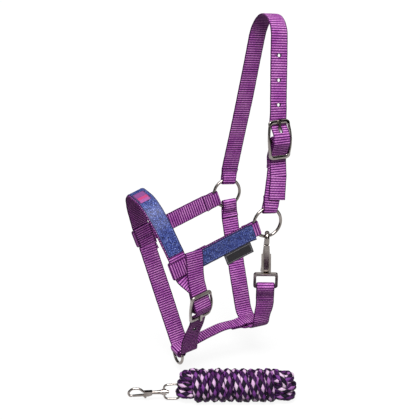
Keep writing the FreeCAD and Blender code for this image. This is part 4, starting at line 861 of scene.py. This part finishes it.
# ---------------------------------------------------------------- back strap
# A short strap along the middle of the jaw: looped round the throat strap behind, and
# round the chin strap in front, with the dee's bar held in its lower fold.
MIDLINE = Plane((0, 0, 0), (0, 1, 0), (0, 0, 1))
chin_low = CHIN.out((0, -DROP))
lean = math.radians(CHIN_LEAN)
CHIN_SPOT = Spot(chin_low[1], chin_low[2], (math.cos(lean), math.sin(lean)),
                 (-math.sin(lean), math.cos(lean)))
ty, tz = THROAT.out((0, LOW - 1))[1:]
LOOSE = WRAP + 0.75
DEE_WIRE = 4.0
under_dee = -THICK / 2 - AIR - DEE_WIRE - AIR - THICK / 2
front_fold = -WIDE / 2 - 2.0
back_way = [
    (ty - 36, tz - PLY - 0.4, 0), (ty - 22, tz - PLY, 10), (ty - 16, tz - LOOSE, 10),
    (ty + 15, tz - LOOSE, LOOSE), (ty + 15, tz + LOOSE, LOOSE), (ty - 16, tz + LOOSE, 10),
    (ty - 22, tz + PLY, 10), (ty - 48, tz - 0.3, 60), (-98, tz - 8.2, 60),
    CHIN_SPOT.at(WRAP + 0.05, 9, 30), CHIN_SPOT.at(WRAP + 0.05, front_fold, WRAP),
    CHIN_SPOT.at(under_dee, front_fold, 3.4), CHIN_SPOT.at(under_dee, -5.2, 3),
    CHIN_SPOT.at(-WRAP - 0.05, -1.5, 3), CHIN_SPOT.at(-WRAP - 0.05, 12)]
back, back_line = strap("back_strap", [(MIDLINE.out(rounded(back_way)), MIDLINE.normal)], webbing)
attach(back, "collar")
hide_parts("back_strap")
seams = []
for y, z, face in ((-24, PLY, 1), (-34, 0.6, 1), (-24, -PLY, -1), (-34, -PLY, -1)):
    along = back_line.near(MIDLINE.out((ty + y, tz + z)))
    seams.append((back_line, (along, -10), (along, 10), face * MIDLINE.y_way))
stitches("back_stitches", seams, thread)


# ---------------------------------------------------------------- covers
# Glitter fabric sewn over the noseband and the near cheek strap: small polyester
# flakes under a clear film, with a navy edge and blue stitching along both sides. Each flake
# has a random brightness, a painted glint, lightest in a few. The flakes are drawn 1 mm
# across, larger than the real ones, so that they show.
glitter, tree, shader = new_material("glitter_fabric", Roughness=0.45,
                                     Specular_IOR_Level=0.4)
place = node(tree, "TexCoord", out=3)
flake = node(tree, "TexVoronoi", {"Vector": place, "Scale": 1000.0}, out=1)
tone = node(tree, "SeparateXYZ", {0: flake}).node
# Painted glint: each flake takes a random brightness, from dark navy up to a bright pale blue in a few.
colour = node(tree, "ValToRGB", {0: tone.outputs[0]}, stops=[
    (0.0, "#161b48"), (0.95, "#8494d4"), (0.24, "#262f70"), (0.54, "#384891"), (0.8, "#5a6bb4")])
colour.node.color_ramp.interpolation = "CONSTANT"
split = node(tree, "SeparateXYZ", {0: node(tree, "UVMap", uv_map="UVMap")}).node
rim = node(tree, "Math", {0: split.outputs[1]}, operation="ABSOLUTE")
rim = node(tree, "MapRange", {0: rim, 1: 0.0100, 2: 0.0103, 3: 0.0, 4: 1.0})
tree.links.new(node(tree, "Mix", {0: rim, 6: colour, 7: linear("#1f2350")}, out=2,
                    data_type="RGBA"), shader["Base Color"])
tree.links.new(node(tree, "Bump", {"Strength": 0.3, "Distance": 0.0003,
                                   "Height": tone.outputs[1]}), shader["Normal"])

COVER = 0.9
LIFT = THICK / 2 + 0.05 + COVER / 2
share = 3.0 / (TOP - 51)
side_end = (HALF_HEAD - 13 * share, 20.0, 0)
cover_arch = [(-side_end[0], side_end[1], 0)] + arch[1:-1] + [side_end]
nose_cover, nose_cover_line = strap(
    "nose_overlay",
    [(NOSE.out(rounded(beside(cover_arch, LIFT))) - 0.8 * NOSE.normal, NOSE.normal)],
    glitter, 22.8, COVER, rib=0.0)
cheek_cover_way = beside([NEAR_CHEEK.at(SLOT, 23), NEAR_CHEEK.at(PLY, 31, 12),
                          NEAR_CHEEK.at(PLY, 111.5)], LIFT)
cheek_cover, cheek_cover_line = strap(
    "near_cheek_overlay",
    [(CHEEK.out(rounded(cheek_cover_way)) - 1.2 * CHEEK.normal, CHEEK.normal)],
    glitter, 24.6, COVER, rib=0.0)
blue_thread, tree, shader = new_material("blue_nylon_thread", Roughness=0.35)
ply = node(tree, "TexNoise", {"Vector": node(tree, "TexCoord", out=3), "Scale": 2200.0})
tree.links.new(node(tree, "ValToRGB", {0: ply}, stops=[(0.3, "#343f83"), (0.7, "#7683c4")]),
               shader["Base Color"])
for cover, name, cover_line, face in (
        (nose_cover, "nose_overlay", nose_cover_line, NOSE.y_way),
        (cheek_cover, "near_cheek_overlay", cheek_cover_line, CHEEK.x_way)):
    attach(cover, "collar")
    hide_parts(name)
    end = cover_line.at[-1] - 1.5
    stitches(name + "_stitches", [(cover_line, (1.5, edge), (end, edge), face)
                                  for edge in (-9.4, 9.4)]
             + [(cover_line, (place, -9), (place, 9), face) for place in (1.5, end)],
             blue_thread)


# ---------------------------------------------------------------- nose patch
# A small woven polyester patch sewn on the middle of the noseband, its edge overlocked
# in a darker thread. It carries no words or badge, only a plain stripe.
patch, tree, shader = new_material("woven_polyester", Roughness=0.55, Sheen_Weight=0.2)
split = node(tree, "SeparateXYZ", {0: node(tree, "UVMap", uv_map="UVMap")}).node
rib = node(tree, "Math", {0: split.outputs[1], 1: 0.0004}, operation="PINGPONG")
rib = node(tree, "MapRange", {0: rib, 1: 0.0, 2: 0.0004, 3: 0.72, 4: 1.08})
band_colour = node(tree, "MapRange", {0: split.outputs[0], 1: 0.0, 2: 0.031})
band_colour = node(tree, "ValToRGB", {0: band_colour}, stops=[
    (0.0, "#5d2362"), (0.95, "#5d2362"), (0.05, "#8f4391"), (0.5, "#c8397f"), (0.72, "#ab559f")])
band_colour.node.color_ramp.interpolation = "CONSTANT"
rim = node(tree, "Math", {0: split.outputs[1]}, operation="ABSOLUTE")
rim = node(tree, "MapRange", {0: rim, 1: 0.0069, 2: 0.0072, 3: 0.0, 4: 1.0})
colour = node(tree, "Mix", {0: rim, 6: band_colour, 7: linear("#5d2362")}, out=2, data_type="RGBA")
tree.links.new(node(tree, "Mix", {0: 1.0, 6: colour, 7: rib}, out=2, data_type="RGBA",
                    blend_type="MULTIPLY"), shader["Base Color"])
tree.links.new(node(tree, "Bump", {"Strength": 0.5, "Distance": 0.0003, "Height": rib}),
               shader["Normal"])
_, patch_flat = evenly(rounded(beside(cover_arch, LIFT + 0.75)), 0.5)
patch_flat = patch_flat[(patch_flat[:, 0] > -9) & (patch_flat[:, 0] < 20.5)]
patch_piece, _ = strap("nose_patch", [(NOSE.out(patch_flat) + 0.75 * NOSE.normal, NOSE.normal)],
                       patch, 17.0, 0.6, rib=0.0)
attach(patch_piece, "collar")
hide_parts("nose_patch")


# ---------------------------------------------------------------- label
# A woven satin label sewn into the lower seam of the near cheek strap's cover. It is
# left blank inside a thin grey border line.
LABEL_LONG, LABEL_WIDE = 41.0, 15.4
satin, tree, shader = new_material("woven_satin", Roughness=0.4, Specular_IOR_Level=0.4)
split = node(tree, "SeparateXYZ", {0: node(tree, "UVMap", uv_map="UVMap")}).node
weave = node(tree, "Math", {0: split.outputs[0], 1: 0.0003}, operation="PINGPONG")
weave = node(tree, "MapRange", {0: weave, 1: 0.0, 2: 0.0003, 3: 0.75, 4: 1.1})
ends = node(tree, "Math", {0: split.outputs[0], 1: -LABEL_LONG / 2 * MM}, operation="ADD")
ends = node(tree, "Math", {0: ends}, operation="ABSOLUTE")
ends = node(tree, "Math", {0: LABEL_LONG / 2 * MM, 1: ends}, operation="SUBTRACT")
sides = node(tree, "Math", {0: split.outputs[1]}, operation="ABSOLUTE")
sides = node(tree, "Math", {0: LABEL_WIDE / 2 * MM, 1: sides}, operation="SUBTRACT")
inward = node(tree, "Math", {0: ends, 1: sides}, operation="MINIMUM")
inward = node(tree, "MapRange", {0: inward, 1: 0.0, 2: 0.0032})
colour = node(tree, "ValToRGB", {0: inward}, stops=[
    (0.0, "#1b181d"), (1.0, "#1b181d"), (0.5, "#8d8a90"), (0.68, "#1b181d")])
colour.node.color_ramp.interpolation = "CONSTANT"
tree.links.new(node(tree, "Mix", {0: 1.0, 6: colour, 7: weave}, out=2, data_type="RGBA",
                    blend_type="MULTIPLY"), shader["Base Color"])
tree.links.new(node(tree, "Bump", {"Strength": 0.4, "Distance": 0.0002, "Height": weave}),
               shader["Normal"])
hang = unit(CHEEK.normal - 0.07 * CHEEK.x_way)
label_line = CHEEK.out(np.array([(HALF_HEAD + PLY + THICK / 2 + 0.5, y)
                                 for y in np.linspace(-33, -33 - LABEL_LONG, 83)])) - 20.2 * hang
label_piece, _ = strap("label_tab", [(label_line, hang)], satin, LABEL_WIDE, 0.8, rib=0.0)
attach(label_piece, "collar")
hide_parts("label_tab")


# ---------------------------------------------------------------- rings, dee and snaps
# Welded steel rings and dee, and die-cast snaps with steel springs, plated like the
# buckles.
for name in ("near_ring", "off_ring", "chin_dee", "crown_buckle_tongue", "chin_buckle_tongue",
             "throat_snap_body", "throat_snap_gate", "throat_snap_pin", "throat_snap_spring",
             "lead_snap_body", "lead_snap_trigger", "lead_snap_pin", "lead_snap_spring",
             "lead_snap_eye"):
    if not nodes[name].material_slots:
        nodes[name].data.materials.append(nickel)
    for slot in nodes[name].material_slots:
        slot.material = nickel


# ---------------------------------------------------------------- floor and light
# A pale floor in a white surround, lit from high in front. Grey cards stand round the
# stage, seen only in the nickel.
floor_mesh = bpy.data.meshes.new("floor")
low = float(cad_box[0][2]) - 0.0015
floor_mesh.from_pydata([(-6, -6, low), (6, -6, low), (6, 6, low), (-6, 6, low)], [],
                       [(0, 1, 2, 3)])
floor = bpy.data.objects.new("floor", floor_mesh)
scene.collection.objects.link(floor)
painted, tree, shader = new_material("painted_floor", Roughness=0.9, Specular_IOR_Level=0.0,
                                     Base_Color=linear("#5c5c5c"), Emission_Color=(1, 1, 1, 1))
rays = node(tree, "LightPath").node
seen = node(tree, "Math", {0: rays.outputs["Is Camera Ray"], 1: rays.outputs["Is Glossy Ray"]},
            operation="MAXIMUM")
seen = node(tree, "Math", {0: seen, 1: rays.outputs["Is Transmission Ray"]}, operation="MAXIMUM")
tree.links.new(node(tree, "MapRange", {0: seen, 1: 0.0, 2: 1.0, 3: 0.0, 4: 0.91}),
               shader["Emission Strength"])
floor_mesh.materials.append(painted)

card, tree, shader = new_material("grey_card", Roughness=0.9, Specular_IOR_Level=0.0,
                                  Base_Color=linear("#1c1a19"))
CARD_OFF, CARD_TOP, FOLDS = 1.7, 1.1, 24
for start, end in ((60, 252), (-11, 46), (-94, -37)):
    swing = np.radians(np.linspace(start, end, FOLDS + 1))
    corners = [(CARD_OFF * math.cos(a), CARD_OFF * math.sin(a), z)
               for z in (low, CARD_TOP) for a in swing]
    quads = [(k, k + 1, k + FOLDS + 2, k + FOLDS + 1) for k in range(FOLDS)]
    card_mesh = bpy.data.meshes.new("card")
    card_mesh.from_pydata(corners, [], quads)
    card_mesh.materials.append(card)
    stand = bpy.data.objects.new("card", card_mesh)
    scene.collection.objects.link(stand)
    stand.visible_camera = False
    stand.visible_diffuse = False
    stand.visible_shadow = False
    stand.visible_transmission = False

scene.world = bpy.data.worlds.new("studio")
scene.world.use_nodes = True
tree = scene.world.node_tree
white = tree.nodes["Background"].inputs
white[0].default_value = (1, 1, 1, 1)
rays = node(tree, "LightPath").node
seen = node(tree, "Math", {0: rays.outputs["Is Camera Ray"], 1: rays.outputs["Is Glossy Ray"]},
            operation="MAXIMUM")
seen = node(tree, "Math", {0: seen, 1: rays.outputs["Is Transmission Ray"]}, operation="MAXIMUM")
tree.links.new(node(tree, "MapRange", {0: seen, 1: 0.0, 2: 1.0, 3: 0.22, 4: 1.0}), white[1])

key = bpy.data.objects.new("key", bpy.data.lights.new("key", "SUN"))
key.data.energy = 3.7
key.data.angle = math.radians(30)
key.rotation_euler = Vector((0.6, -0.35, 1.0)).to_track_quat("Z", "Y").to_euler()
scene.collection.objects.link(key)

scene.view_settings.view_transform = "Standard"
